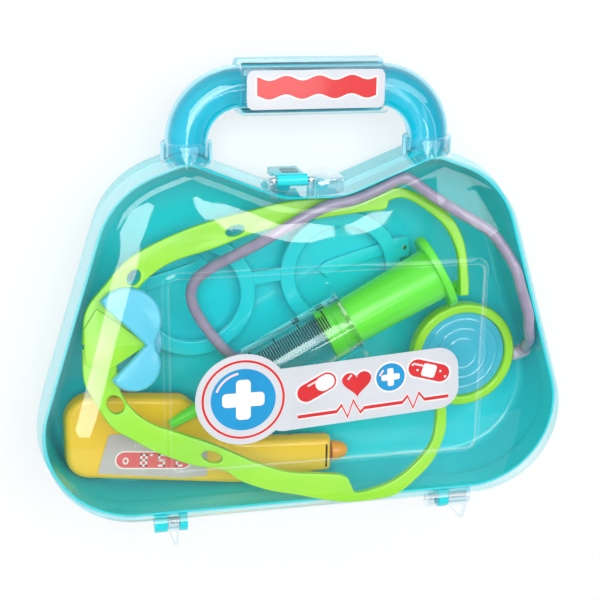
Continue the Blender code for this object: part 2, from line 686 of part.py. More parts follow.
def make_lid(outline, forms, hollows):
    """Clear lid with the front half of the handle, fins, lugs and a tab."""
    shell = add("lid_shell", tray("lid_shell", outline, PARTING_Z + GAP / 2, CASE_DEPTH,
                                  LID_DRAFT, LID_EDGE, LID_WALL), CLEAR)
    field = rectangle(PANEL_WIDTH, PANEL_HEIGHT, PANEL_RADIUS, PANEL_X, PANEL_Y)
    panel = add("raised_field", plate("raised_field", [field], CASE_DEPTH - LID_WALL / 2,
                                      LID_WALL / 2 + PANEL_RISE, PANEL_RISE / 2), cutter=True)
    boolean(shell, panel, 'UNION')
    boolean(shell, half_handle("handle_front", forms, hollows, False), 'UNION')
    places = hinge_places()[1]
    for index, (x, width) in enumerate(places):
        boolean(shell, knuckle("lid_barrel_%d" % index, x, width, False), 'UNION')
    for index, (x, width) in enumerate((places[0], places[2])):
        boolean(shell, fin("fin_%d" % index, x, width, x + width * 0.75), 'UNION')
    root_y = DIP_Y - LID_DRAFT - LID_WALL / 2
    outer_y = LATCH_Y + LATCH_THICK / 2
    side = LATCH_WIDTH / 2 + GAP
    for name, x in (("lug_left", LATCH_X - side - LUG_WIDTH), ("lug_right", LATCH_X + side)):
        lug = block(name, (x, root_y, LATCH_PIVOT_Z - LATCH_BARREL),
                    (x + LUG_WIDTH, outer_y, LATCH_PIVOT_Z + LATCH_BARREL), LIP_WALL / 2)
        boolean(shell, lug, 'UNION')
    arm = block("tab_arm", (TAB_X - TAB_WIDTH / 2, root_y, LATCH_PIVOT_Z - LATCH_BARREL),
                (TAB_X + TAB_WIDTH / 2, LATCH_Y, LATCH_PIVOT_Z + LATCH_BARREL / 2), LIP_WALL / 2)
    tongue = rectangle(TAB_WIDTH, LATCH_LENGTH + LATCH_BARREL, TAB_ROUND)
    standing = Matrix.Translation((TAB_X, DIP_Y + LATCH_STANDOFF + TAB_THICK,
                                   LATCH_PIVOT_Z + (LATCH_BARREL - LATCH_LENGTH) / 2))
    tab = add("tab", plate("tab", [tongue], 0, TAB_THICK), cutter=True,
              matrix=standing @ Matrix.Rotation(math.pi / 2, 4, 'X'))
    boolean(shell, arm, 'UNION')
    boolean(shell, tab, 'UNION')
    bore = cylinder("lug_bore", (LATCH_X - side - LUG_WIDTH - CUT_OVERRUN, LATCH_Y, LATCH_PIVOT_Z),
                    (1, 0, 0), 2 * (side + LUG_WIDTH + CUT_OVERRUN), LATCH_PIN_RADIUS + GAP,
                    sides=12)
    boolean(shell, bore, 'DIFFERENCE')
    pin_bores(shell)
    return shell


def make_pins():
    """Two hinge pins and the latch pin."""
    hinge = [cylinder(name, (x, HINGE_Y, PARTING_Z), (1, 0, 0), length, PIN_RADIUS, sides=12,
                      cutter=False, finish=STEEL)
             for name, x, length in (
                 ("hinge_pin_left", LEFT_HINGE_X,
                  LEFT_KNUCKLE + LEFT_FIN + LEFT_KEEPER + 2 * GAP),
                 ("hinge_pin_right", RIGHT_HINGE_X,
                  RIGHT_KNUCKLE + RIGHT_KEEPER + RIGHT_FIN + 2 * GAP))]
    side = LATCH_WIDTH / 2 + GAP + LUG_WIDTH
    latch_pin = cylinder("latch_pin", (LATCH_X - side, LATCH_Y, LATCH_PIVOT_Z), (1, 0, 0),
                         2 * side, LATCH_PIN_RADIUS, sides=12, cutter=False, finish=STEEL)
    return hinge, latch_pin


def make_latch():
    """Teal flap that turns on the latch pin and closes over the bead."""
    half = LATCH_WIDTH / 2
    flap = cylinder("latch_flap", (LATCH_X - half, LATCH_Y, LATCH_PIVOT_Z), (1, 0, 0),
                    LATCH_WIDTH, LATCH_BARREL, cutter=False, finish=TEAL)
    leaf = block("latch_leaf",
                 (LATCH_X - half, LATCH_Y - LATCH_THICK / 2, LATCH_PIVOT_Z - LATCH_LENGTH),
                 (LATCH_X + half, LATCH_Y + LATCH_THICK / 2, LATCH_PIVOT_Z), LIP_WALL / 2)
    bore = cylinder("latch_bore", (LATCH_X - half - CUT_OVERRUN, LATCH_Y, LATCH_PIVOT_Z),
                    (1, 0, 0), LATCH_WIDTH + 2 * CUT_OVERRUN, LATCH_PIN_RADIUS + GAP, sides=12)
    boolean(flap, leaf, 'UNION')
    boolean(flap, bore, 'DIFFERENCE')
    return flap


def make_labels():
    """Die-cut label on the raised field and a label on the grip."""
    z = CASE_DEPTH + PANEL_RISE + GAP
    badge = ellipse((BADGE_X, BADGE_Y), 2 * BADGE_RADIUS, 2 * BADGE_RADIUS, 0, 40)
    label = add("lid_label", plate("lid_label", [badge], z, LABEL_THICK), SILVER)
    banner = rectangle(BANNER_LENGTH, BANNER_HEIGHT, BANNER_ROUND, BANNER_X, BANNER_Y, BANNER_TURN)
    strip = add("banner", plate("banner", [banner], z, LABEL_THICK), cutter=True)
    boolean(label, strip, 'UNION')
    field = rectangle(GRIP_LABEL_LENGTH, GRIP_LABEL_HEIGHT, GRIP_LABEL_ROUND, 0, HANDLE_Y)
    grip_z = PARTING_Z + GRIP_THICK / 2 + GAP
    grip_label = add("grip_label", plate("grip_label", [field], grip_z, LABEL_THICK), SILVER)
    return label, grip_label


def headset_frame():
    """Plane of the headset: origin at the yoke centre, leaning to the lid."""
    return Matrix.Translation((YOKE_X, YOKE_Y, YOKE_Z)) @ Matrix.Rotation(HEADSET_TILT, 4, 'X')


def headset_point(share):
    """A place in the headset's plane from its shares."""
    return Vector((share[0] * HEADSET_LENGTH - YOKE_BACK_REACH,
                   share[1] * HEADSET_SPREAD - LOWER_REACH))


def arm_hole(name):
    """One of the openings in the arms."""
    centre, length, width, turn = HOLE_SHARES[name]
    return ellipse(headset_point(centre), length * HEADSET_LENGTH, width * HEADSET_LENGTH, turn)


def make_headset():
    """Two lime arms, the light blue yoke over them and its rear plate."""
    place = headset_frame()
    split = GAP / 2
    made = []
    for name, outer, inner, holes, shift in (
            ("headset_arm_upper", UPPER_OUTER_SHARES, UPPER_INNER_SHARES,
             ("upper_round", "upper_slot"), split),
            ("headset_arm_lower", LOWER_OUTER_SHARES, LOWER_INNER_SHARES,
             ("lower_round", "lower_slot"), -split)):
        rim = [headset_point(share) + Vector((0, shift)) for share in outer]
        lining = [headset_point(share) + Vector((0, shift)) for share in inner]
        outline = smooth_line(rim, 2) + smooth_line(lining, 2)
        if name.endswith("upper"):
            outline.reverse()
        outlines = [outline] + [arm_hole(hole) for hole in holes]
        made.append(add(name, plate(name, outlines, -ARM_THICK / 2, ARM_THICK, ARM_EDGE),
                        LIME, matrix=place))
    return made


def lobe_arc(start, end, radius_sign, steps=9):
    """Half circle from one point to another, bulging to one side."""
    centre = (start + end) / 2
    arm = start - centre
    return [centre + Matrix.Rotation(radius_sign * math.pi * step / steps, 2) @ arm
            for step in range(steps + 1)]


def make_yoke():
    """Light blue yoke: two half-round lobes about a V mouth, and its back."""
    place = headset_frame()
    neck = Vector((UPPER_LOBE_RADIUS + LOWER_LOBE_RADIUS - YOKE_MOUTH, GAP))
    upper_far = neck + Matrix.Rotation(math.radians(143), 2) @ Vector((2 * UPPER_LOBE_RADIUS, 0))
    lower_far = neck + Matrix.Rotation(math.radians(213), 2) @ Vector((2 * LOWER_LOBE_RADIUS, 0))
    shift = Vector((0, YOKE_MOUTH))
    outline = (lobe_arc(neck + shift, upper_far + shift, 1)
               + [neck - Vector((2 * YOKE_MOUTH, 0))]
               + lobe_arc(lower_far - shift, neck - shift, 1))
    front = add("yoke_front", plate("yoke_front", [outline], ARM_THICK / 2 + GAP, LOBE_THICK,
                                    LOBE_EDGE), SKY, matrix=place)
    disc = ellipse((neck.x / 2, 0), neck.x + YOKE_BACK_REACH, 2 * UPPER_LOBE_RADIUS, 0, 24)
    back_z = -ARM_THICK / 2 - GAP - YOKE_PLATE_THICK
    back = add("yoke_back", plate("yoke_back", [disc], back_z, YOKE_PLATE_THICK, ARM_EDGE),
               SKY, matrix=place)
    end, target = socket_line()
    aim = (target - end).normalized()
    socket = cylinder("yoke_socket", target - aim * SOCKET_LENGTH, aim, SOCKET_LENGTH,
                      SOCKET_RADIUS)
    boolean(back, socket, 'UNION')
    beak = [Vector((0, LOWER_LOBE_RADIUS * 0.62)), Vector((0, -LOWER_LOBE_RADIUS * 0.62)),
            Vector((neck.x - 3.4 * YOKE_MOUTH, 0))]
    wedge = add("yoke_wedge", plate("yoke_wedge", [beak], ARM_THICK / 2 + GAP, WEDGE_THICK,
                                    ARM_EDGE), LIME, matrix=place)
    return front, back, wedge


def make_ear_tips():
    """Soft ear tips under the free ends of the arms."""
    made = []
    wide = EAR_TIP_RADIUS
    profile = [(0, 0), (wide * 0.6, 0), (wide * 0.6, -EAR_TIP_LENGTH * 0.35),
               (wide, -EAR_TIP_LENGTH * 0.6), (wide * 0.8, -EAR_TIP_LENGTH * 0.92),
               (0, -EAR_TIP_LENGTH)]
    for name, first, second, side in (
            ("ear_tip_upper", UPPER_OUTER_SHARES[-1], UPPER_INNER_SHARES[0], 1),
            ("ear_tip_lower", LOWER_OUTER_SHARES[-1], LOWER_INNER_SHARES[0], -1)):
        end = (headset_point(first) + headset_point(second)) / 2
        place = headset_frame() @ Matrix.Translation(
            (end.x, end.y + side * wide * 0.8, -ARM_THICK / 2 - GAP))
        made.append(turned(name, profile, GREEN, place, sides=14))
    return made


def socket_line():
    """Hose end and the point of the yoke's back plate that it aims at."""
    target = headset_frame() @ Vector((*SOCKET_SPOT, -ARM_THICK / 2 - GAP - YOKE_PLATE_THICK / 2))
    return Vector(HOSE_POINTS[-1]), target


def hose_line():
    """Smooth centre line: out of the elbow, along the route, into the yoke."""
    elbow = stem_path()
    way = (elbow[-1] - elbow[-2]).normalized()
    first = elbow[-1] + way * GAP
    end, target = socket_line()
    aim = (target - end).normalized()
    last = target - aim * (SOCKET_LENGTH + GAP)
    return smooth_line([first, first + way * HOSE_START_STRAIGHT, *HOSE_POINTS,
                        last - aim * HOSE_START_STRAIGHT, last], 2)[:-1] + [last]


def make_hose():
    """The hose along its own route."""
    curve = bpy.data.curves.new("hose", 'CURVE')
    curve.dimensions = '3D'
    curve.bevel_depth = HOSE_DIAMETER / 2
    curve.bevel_resolution = 3
    curve.use_fill_caps = True
    spline = curve.splines.new('POLY')
    points = hose_line()
    spline.points.add(len(points) - 1)
    for target, point in zip(spline.points, points):
        target.co = (*point, 1)
    made = bpy.data.objects.new("hose", curve)
    CASE.objects.link(made)
    made.parent = FRAME
    curve.materials.append(HOSE_GREY)
    return made


def stem_path():
    """Elbow from the ring's side, turning from +X to the hose's first way."""
    way = Vector((0, math.cos(STEM_RISE), math.sin(STEM_RISE)))
    start = Vector((CHEST_X + CHEST_RADIUS + GAP, CHEST_Y + STEM_Y, STEM_Z))
    bend = start + Vector((STEM_STRAIGHT, 0, 0))
    points = [start]
    for step in range(7):
        angle = math.pi / 2 * step / 6
        points.append(bend + STEM_BEND * (Vector((1, 0, 0)) * math.sin(angle)
                                          + way * (1 - math.cos(angle))))
    return points


def make_chest_piece():
    """Body, lime ring, diaphragm and the elbow that takes the hose."""
    place = Matrix.Translation((CHEST_X, CHEST_Y, CHEST_TOP_Z))
    inner = CHEST_RADIUS - RING_WIDTH
    body_radius = inner - GAP
    seat = -DIAPHRAGM_SINK - DIAPHRAGM_THICK - GAP
    body = turned("chest_body", [
        (0, seat - BODY_WALL), (body_radius - BODY_WALL, seat - BODY_WALL), (body_radius - BODY_WALL, seat),
        (body_radius, seat), (body_radius, -RING_HEIGHT),
        (body_radius * 0.72, -CHEST_BODY_HEIGHT), (0, -CHEST_BODY_HEIGHT)], SKY, place, sides=32)
    ring = turned("chest_ring", [
        (inner, 0), (CHEST_RADIUS - RING_WIDTH / 3, 0), (CHEST_RADIUS, -RING_WIDTH / 3),
        (CHEST_RADIUS, -RING_HEIGHT), (inner, -RING_HEIGHT)], LIME, place, sides=40)
    film = turned("chest_diaphragm", [
        (0, -DIAPHRAGM_SINK), (inner - GAP, -DIAPHRAGM_SINK),
        (inner - GAP, -DIAPHRAGM_SINK - DIAPHRAGM_THICK), (0, -DIAPHRAGM_SINK - DIAPHRAGM_THICK)],
        BLUE_FILM, place, sides=32)
    stem = add("chest_stem", tube_mesh("chest_stem", stem_path(), STEM_RADIUS, 3), HOSE_GREY)
    smooth(stem.data)
    return body, ring, film, stem


def syringe_frame():
    """Axis of the syringe: origin at the nozzle's tip, Z towards the thumb."""
    lie = Matrix.Rotation(math.pi / 2, 4, 'Y')
    return (Matrix.Translation((TIP_X, TIP_Y, TIP_Z)) @ Matrix.Rotation(SYRINGE_TURN, 4, 'Z') @ lie)


def oval_plate(name, length, depth, low, thick, cutter, finish=None):
    """A flat oval across the syringe's axis, long way in the case's plane."""
    outline = ellipse((0, 0), depth, length, 0, 28)
    return add(name, plate(name, [outline], low, thick, thick / 4), finish, cutter,
               syringe_frame())


def make_syringe():
    """Barrel with its flange, green nozzle, and the plunger that slides."""
    place = syringe_frame()
    front = NOZZLE_LENGTH
    back = front + BARREL_LENGTH
    bore = BARREL_RADIUS - BARREL_WALL
    barrel = turned("syringe_barrel", [
        (BARREL_RADIUS, back), (BARREL_RADIUS, front + BARREL_WALL),
        (BARREL_RADIUS - BARREL_WALL, front), (NOZZLE_TIP_RADIUS, front),
        (NOZZLE_TIP_RADIUS, front + BARREL_WALL), (bore, front + BARREL_WALL), (bore, back)],
        CLEAR, place, sides=28)
    flange = oval_plate("flange", FLANGE_LENGTH, FLANGE_DEPTH, back - FLANGE_THICK - GAP,
                        FLANGE_THICK, True)
    opening = cylinder("flange_bore", (0, 0, back - FLANGE_THICK - CUT_OVERRUN), (0, 0, 1),
                       FLANGE_THICK + 2 * CUT_OVERRUN, (bore + BARREL_RADIUS) / 2, sides=28,
                       matrix=place)
    boolean(flange, opening, 'DIFFERENCE')
    boolean(barrel, flange, 'UNION')
    nozzle = turned("syringe_nozzle", [
        (0, front - GAP), (NOZZLE_ROOT_RADIUS + NOZZLE_BASE, front - GAP),
        (NOZZLE_ROOT_RADIUS + NOZZLE_BASE, front - NOZZLE_BASE / 2),
        (NOZZLE_ROOT_RADIUS, front - NOZZLE_BASE / 2), (NOZZLE_TIP_RADIUS, 0), (0, 0)],
        GREEN, place, sides=18)
    face = back - PLUNGER_FACE
    end = back + PLUNGER_OUT
    piston = bore - GAP
    plunger = turned("syringe_plunger", [
        (0, end - THUMB_THICK / 2), (PLUNGER_END_RADIUS, end - THUMB_THICK / 2),
        (PLUNGER_ROOT_RADIUS, face + PISTON_LENGTH + (piston - PLUNGER_ROOT_RADIUS)),
        (piston, face + PISTON_LENGTH), (piston, face), (0, face)], GREEN, place, sides=28)
    rest = oval_plate("thumb_rest", THUMB_LENGTH, THUMB_DEPTH, end - THUMB_THICK, THUMB_THICK, True)
    boolean(plunger, rest, 'UNION')
    return barrel, nozzle, plunger


def thermometer_outline(shares):
    """Rounded outline of the thermometer from its corner shares."""
    return rounded(list(reversed([(THERMO_X + x * THERMO_LENGTH, THERMO_Y + y * THERMO_HEIGHT,
                                   radius * THERMO_LENGTH) for x, y, radius in shares])))


def make_thermometer():
    """Two half shells, the tip between them and the display label."""
    outline = thermometer_outline(THERMO_CORNER_SHARES)
    middle = THERMO_Z + THERMO_THICK / 2
    made = []
    for name, rim, floor, finish in (
            ("thermometer_back", middle - GAP / 2, THERMO_Z, ORANGE),
            ("thermometer_front", middle + GAP / 2, THERMO_Z + THERMO_THICK, YELLOW)):
        made.append(add(name, tray(name, outline, rim, floor, THERMO_DRAFT, THERMO_EDGE,
                                   THERMO_WALL, steps=2), finish))
    end_x = max(point.x for point in outline) + GAP
    tip_share = (THERMO_CORNER_SHARES[4][1] + THERMO_CORNER_SHARES[5][1]) / 2
    place = (Matrix.Translation((end_x, THERMO_Y + tip_share * THERMO_HEIGHT, middle))
             @ Matrix.Rotation(math.pi / 2, 4, 'Y'))
    made.append(turned("thermometer_tip", [
        (0, THERMO_TIP_LENGTH), (THERMO_TIP_RADIUS * 0.45, THERMO_TIP_LENGTH * 0.95),
        (THERMO_TIP_RADIUS * 0.8, THERMO_TIP_LENGTH * 0.6), (THERMO_TIP_RADIUS, 0), (0, 0)],
        ORANGE, place, sides=20))
    film = thermometer_outline(THERMO_LABEL_SHARES)
    made.append(add("thermometer_label",
                    plate("thermometer_label", [film], THERMO_Z + THERMO_THICK + GAP,
                          THERMO_LABEL_THICK), SILVER))
    return made


def make_glasses():
    """Front frame, two folded temples and their pins."""
    spin = Matrix.Rotation(GLASSES_TURN, 4, 'Z')
    frame_z = GLASSES_Z + TEMPLE_THICK + GAP
    place = Matrix.Translation((LEFT_LENS_X, LEFT_LENS_Y, 0)) @ spin
    ring = ellipse((0, 0), 2 * LENS_OUTER, 2 * LENS_OUTER, 0, 36)
    hole = ellipse((0, 0), 2 * (LENS_OUTER - LENS_RIM), 2 * (LENS_OUTER - LENS_RIM), 0, 32)
    frame = add("glasses_frame", plate("glasses_frame", [ring, hole], frame_z, FRAME_THICK,
                                       FRAME_THICK / 6), TEAL, matrix=place)
    second = add("second_rim", plate("second_rim", [
        [p + Vector((LENS_PITCH, 0)) for p in ring], [p + Vector((LENS_PITCH, 0)) for p in hole]],
        frame_z, FRAME_THICK, FRAME_THICK / 6), cutter=True, matrix=place)
    boolean(frame, second, 'UNION')
    reach = LENS_OUTER - LENS_RIM / 2
    bridge = rectangle(LENS_PITCH - 2 * reach, BRIDGE_HEIGHT, 0, LENS_PITCH / 2, LENS_RIM / 2)
    span = add("bridge", plate("bridge", [bridge], frame_z + FRAME_THICK / 8, FRAME_THICK * 3 / 4),
               cutter=True, matrix=place)
    boolean(frame, span, 'UNION')
    end_y = LENS_RIM
    temples = []
    for name, side, origin in (("temple_left", -1, 0), ("temple_right", 1, LENS_PITCH)):
        far = origin + side * (LENS_OUTER + END_LENGTH / 2)
        near = origin + side * reach
        low, high = sorted((near, far))
        lug = add(name + "_lug", plate(name + "_lug", [rectangle(
            high - low, END_HEIGHT, LENS_RIM / 6, (low + high) / 2, end_y)], frame_z, FRAME_THICK),
            cutter=True, matrix=place)
        boolean(frame, lug, 'UNION')
        pin_x = far - side * END_LENGTH / 4
        temple = temple_plate(name, side, pin_x, end_y, place)
        temples.append(temple)
        bore = cylinder(name + "_bore", (pin_x, end_y, GLASSES_Z - CUT_OVERRUN), (0, 0, 1),
                        TEMPLE_THICK + FRAME_THICK + 3 * CUT_OVERRUN, TEMPLE_PIN_RADIUS + GAP,
                        sides=10, matrix=place)
        boolean(frame, bore, 'DIFFERENCE')
        boolean(temple, bore, 'DIFFERENCE')
    pins = make_temple_pins(place, end_y)
    return frame, temples, pins


def temple_plate(name, side, pin_x, end_y, place):
    """A folded temple: a flat bar behind the lenses with a drooping tip."""
    half = TEMPLE_HEIGHT / 2
    drop = TEMPLE_DROP if side > 0 else -TEMPLE_DROP
    inward = -side
    spine = [Vector((pin_x - inward * half, end_y)), Vector((pin_x + inward * TEMPLE_HEIGHT, end_y)),
             Vector((pin_x + inward * TEMPLE_LENGTH * 0.35, end_y - drop * 0.6)),
             Vector((pin_x + inward * TEMPLE_LENGTH * 0.40, end_y - drop))]
    return add(name, plate(name, [band(spine, half)], GLASSES_Z, TEMPLE_THICK,
                           TEMPLE_THICK / 6), TEAL, matrix=place)


def band(spine, half):
    """A strip of constant half width about a line of points."""
    left, right = [], []
    for index, here in enumerate(spine):
        before = spine[max(0, index - 1)]
        after = spine[min(len(spine) - 1, index + 1)]
        way = (after - before).normalized()
        normal = Vector((-way.y, way.x)) * half
        left.append(here + normal)
        right.append(here - normal)
    return left + list(reversed(right))


def make_temple_pins(place, end_y):
    """The pins that join the temples to the frame."""
    length = TEMPLE_THICK + GAP + FRAME_THICK
    reach = LENS_OUTER + END_LENGTH / 4
    return [cylinder(name, (pin_x, end_y, GLASSES_Z), (0, 0, 1), length, TEMPLE_PIN_RADIUS,
                     sides=10, cutter=False, finish=STEEL, matrix=place)
            for name, pin_x in (("temple_pin_left", -reach),
                                ("temple_pin_right", LENS_PITCH + reach))]


def hang_on(axis, pieces):
    """Parents pieces to an axis empty without moving them."""
    bpy.context.view_layer.update()
    for piece in pieces:
        kept = piece.matrix_world.copy()
        piece.parent = axis
        piece.matrix_parent_inverse = axis.matrix_world.inverted()
        piece.matrix_world = kept


def main():
    """Builds every piece and hangs the moving ones on their axes."""
    outline = case_outline()
    forms, hollows = handle_bodies()
    make_back_shell(outline, forms, hollows)
    lid = make_lid(outline, forms, hollows)
    latch_pin = make_pins()[1]
    flap = make_latch()
    label, grip_label = make_labels()
    make_headset()
    make_yoke()
    make_ear_tips()
    make_hose()
    make_chest_piece()
    plunger = make_syringe()[2]
    make_thermometer()
    make_glasses()
    lid_axis = empty("lid_axis", (0, HINGE_Y, PARTING_Z), FRAME)
    latch_axis = empty("latch_axis", (LATCH_X, LATCH_Y, LATCH_PIVOT_Z), FRAME)
    hang_on(lid_axis, [lid, latch_pin, label, grip_label, latch_axis])
    hang_on(latch_axis, [flap])
    plunger_axis = empty("plunger_axis", (0, 0, 0), FRAME)
    plunger_axis.matrix_local = syringe_frame()
    hang_on(plunger_axis, [plunger])


main()
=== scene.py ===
"""Looks of the toy doctor case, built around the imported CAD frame.

All sizes are millimetres in the drawing frame of the case: x to the right,
y up from the straight bottom edge to the handle and z out of the clear lid.
to_row() turns them into metres in the row frame.
"""
import math

import bmesh
import bpy
import numpy as np
from mathutils import Matrix, Vector


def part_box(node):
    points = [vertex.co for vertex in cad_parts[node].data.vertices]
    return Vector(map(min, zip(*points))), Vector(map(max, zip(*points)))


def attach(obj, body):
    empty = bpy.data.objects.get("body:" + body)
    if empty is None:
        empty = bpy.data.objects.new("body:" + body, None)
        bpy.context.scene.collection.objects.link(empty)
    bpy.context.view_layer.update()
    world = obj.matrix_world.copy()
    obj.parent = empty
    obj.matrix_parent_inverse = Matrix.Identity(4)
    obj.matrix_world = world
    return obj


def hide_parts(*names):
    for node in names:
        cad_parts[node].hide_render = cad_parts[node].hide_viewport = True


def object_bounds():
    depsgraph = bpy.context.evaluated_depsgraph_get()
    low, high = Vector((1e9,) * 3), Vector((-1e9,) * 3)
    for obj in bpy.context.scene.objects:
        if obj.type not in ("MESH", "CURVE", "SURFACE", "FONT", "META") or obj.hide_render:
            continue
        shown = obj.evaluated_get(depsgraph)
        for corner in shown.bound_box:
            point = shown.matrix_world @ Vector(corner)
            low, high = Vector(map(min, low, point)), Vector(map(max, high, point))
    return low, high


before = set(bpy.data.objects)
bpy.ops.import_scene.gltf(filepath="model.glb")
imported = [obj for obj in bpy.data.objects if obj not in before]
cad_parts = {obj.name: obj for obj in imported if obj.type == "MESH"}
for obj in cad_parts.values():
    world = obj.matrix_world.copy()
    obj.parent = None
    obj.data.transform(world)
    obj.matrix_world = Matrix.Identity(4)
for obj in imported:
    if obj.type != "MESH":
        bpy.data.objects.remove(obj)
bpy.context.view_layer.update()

# Drawing frame
MM = 0.001
SAME_POINT = 0.002           # points closer than this are merged
LEAST_ROUND = 0.02           # smallest corner of a slab
HINGE_Y = -6.5
PARTING_Z = 28.0
pin_low, pin_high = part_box("hinge_pin_left")
SHIFT_Y = (pin_low.y + pin_high.y) / 2 / MM - HINGE_Y

# Case
GAP = 0.3
OUTLINE_CORNERS = ((140.1, 0, 44), (90.2, 156.9, 44), (55, 170, 14), (13, 153, 30))
MIDDLE = (0.0, 80.0)
BACK_WALL, BACK_DRAFT, BACK_EDGE = 2.0, 2.2, 6.0
LID_WALL, LID_DRAFT, LID_EDGE = 1.5, 1.2, 7.0
LID_TOP = 52.0
CROWN_RISE, CROWN_REACH = 2.4, 36.0
LIP_WALL, LIP_HEIGHT, LIP_ROOT, LIP_SETBACK = 1.0, 10.6, 2.0, 1.1
PANEL = dict(width=144.0, height=91.5, x=4.5, y=75.7, radius=5.0, rise=0.8, step=3.3)
BEAD_RISE, BEAD_WIDTH, BEADS_AT = 0.42, 0.07, (0.12, 0.88)
RAMP_FROM, RAMP_WIDTH = 0.15, 0.7
FACE_TILT = math.radians(90 - 7.6)
SMOOTHED = 12                # neighbours on each side that even out a ring's height

# Handle
HANDLE_HALF, HANDLE_Y, HANDLE_BEND = 54.3, 197.2, 23.6
TUBE_RADIUS, TUBE_WALL = 9.4, 1.5
COLLAR_RADIUS, COLLAR_WALL, COLLAR_TOP, COLLAR_FOOT = 11.3, 1.6, 174.5, 164.5
TUBE_FOOT = COLLAR_FOOT + 3.0
GRIP_LENGTH, GRIP_HEIGHT, GRIP_THICK, GRIP_ROUND, GRIP_WALL = 65.0, 23.2, 23.6, 4.5, 1.6

# Syringe
TIP = np.array((-63.4, 40.8, 23.9))
SYRINGE_TURN = math.radians(28.2)

# Headset
YOKE = np.array((-95.0, 85.0, 32.5))
HEADSET_TILT = math.radians(-9.1)


def srgb(red, green, blue):
    """Linear colour of an sRGB colour given in 0 to 255."""
    value = np.array((red, green, blue)) / 255
    linear = np.where(value <= 0.04045, value / 12.92, ((value + 0.055) / 1.055) ** 2.4)
    return tuple(float(c) for c in linear)


def to_row(points):
    """Millimetres in the drawing frame to metres in the row frame."""
    points = np.asarray(points, float)
    return (points + np.array((0, SHIFT_Y, 0))) * MM


# Materials


class Value:
    """A number socket: operators on it add Math nodes."""

    def __init__(self, finish, socket):
        self.finish = finish
        self.socket = socket

    def math(self, operation, *others):
        return self.finish.node("ShaderNodeMath", {"operation": operation}, [self, *others])

    def __add__(self, other):
        return self.math("ADD", other)

    def __radd__(self, other):
        return self.math("ADD", other)

    def __sub__(self, other):
        return self.math("SUBTRACT", other)

    def __rsub__(self, other):
        return self.finish.node("ShaderNodeMath", {"operation": "SUBTRACT"}, [other, self])

    def __mul__(self, other):
        return self.math("MULTIPLY", other)

    def __rmul__(self, other):
        return self.math("MULTIPLY", other)

    def max(self, other):
        return self.math("MAXIMUM", other)


SLOTS = {                    # the slot of each finish that has a name of its own
    "handle_teal": "teal_polystyrene", "latch_window": "teal_polystyrene",
    "barrel_clear": "clear_polystyrene", "clear_thick": "clear_polystyrene",
    "scale_ink": "clear_polystyrene", "steel": "steel_pin", "shiny_stem": "lavender_hose",
    "bright_green": "bright_green_plastic", "light_blue": "light_blue_plastic",
    **dict.fromkeys(("thermometer_film", "white_print", "red_print", "tick_print", "display_red",
                     "blue_print", "pale_print", "glint_print"), "silver_film")}


class Finish:
    """A material under construction, with one Principled shader."""

    def __init__(self, name, colour, roughness, **settings):
        self.slot = SLOTS.get(name, name)
        self.material = bpy.data.materials.new(name)
        self.material.use_nodes = True
        self.tree = self.material.node_tree
        self.shader = self.tree.nodes["Principled BSDF"]
        self.output = self.tree.nodes["Material Output"]
        self.shader.inputs["Base Color"].default_value = (*colour, 1)
        self.shader.inputs["Roughness"].default_value = roughness
        for key, value in settings.items():
            self.shader.inputs[key.replace("_", " ").title()].default_value = value

    def node(self, kind, settings=None, inputs=(), out=0):
        """Adds a node: settings first, then its inputs by place or name."""
        made = self.tree.nodes.new(kind)
        for key, value in (settings or {}).items():
            setattr(made, key, value)
        pairs = inputs.items() if isinstance(inputs, dict) else enumerate(inputs)
        for key, value in pairs:
            self.feed(made.inputs[key], value)
        return Value(self, made.outputs[out])

    def feed(self, socket, value):
        """Links a value into a socket, or sets the socket to a constant."""
        if isinstance(value, Value):
            self.tree.links.new(value.socket, socket)
        elif isinstance(value, tuple) and len(value) == 3 and len(socket.default_value) == 4:
            socket.default_value = (*value, 1)
        else:
            socket.default_value = value

    def place(self):
        """Object coordinates as millimetres in the drawing frame."""
        own = self.node("ShaderNodeTexCoord", out=3)
        away = [-float(c) for c in to_row((0, 0, 0))]
        moved = self.node("ShaderNodeVectorMath", {"operation": "ADD"}, [own, away])
        return self.node("ShaderNodeVectorMath", {"operation": "SCALE"},
                         {"Vector": moved, "Scale": 1 / MM})

    def noise(self, vector, size, detail):
        """Soft noise about 0.5, with features of a size in millimetres."""
        return self.node("ShaderNodeTexNoise", inputs={"Vector": vector, "Scale": 1 / size,
                                                       "Detail": detail})

    def mix(self, share, first, second):
        """A colour between two, by a share."""
        return self.node("ShaderNodeMix", {"data_type": "RGBA"}, {0: share, 6: first, 7: second}, 2)

    def bump(self, height, strength, distance):
        """Bump from a height in millimetres times distance."""
        return self.node("ShaderNodeBump", inputs={"Height": height, "Strength": strength,
                                                   "Distance": distance * MM})

    def surface(self, shader):
        """Puts another shader on the surface in place of the Principled one."""
        self.tree.links.new(shader.socket, self.output.inputs["Surface"])


def moulded(name, colour, deep, roughness, coat, flow):
    """Glossy moulded plastic: colour drifts between two tones, faint flow marks."""
    made = Finish(name, colour, roughness, coat_weight=coat, coat_roughness=0.08)
    spot = made.place()
    drift = made.noise(spot, flow, 1.5)
    fine = made.noise(spot, 0.9, 3.0)
    for key, value in (("Base Color", made.mix((drift - 0.35) * 1.6, colour, deep)),
                       ("Roughness", fine * 0.10 + (roughness - 0.05)),
                       ("Normal", made.bump(made.noise(spot, 6.0, 2.0), 0.25, 0.05))):
        made.feed(made.shader.inputs[key], value)
    return made


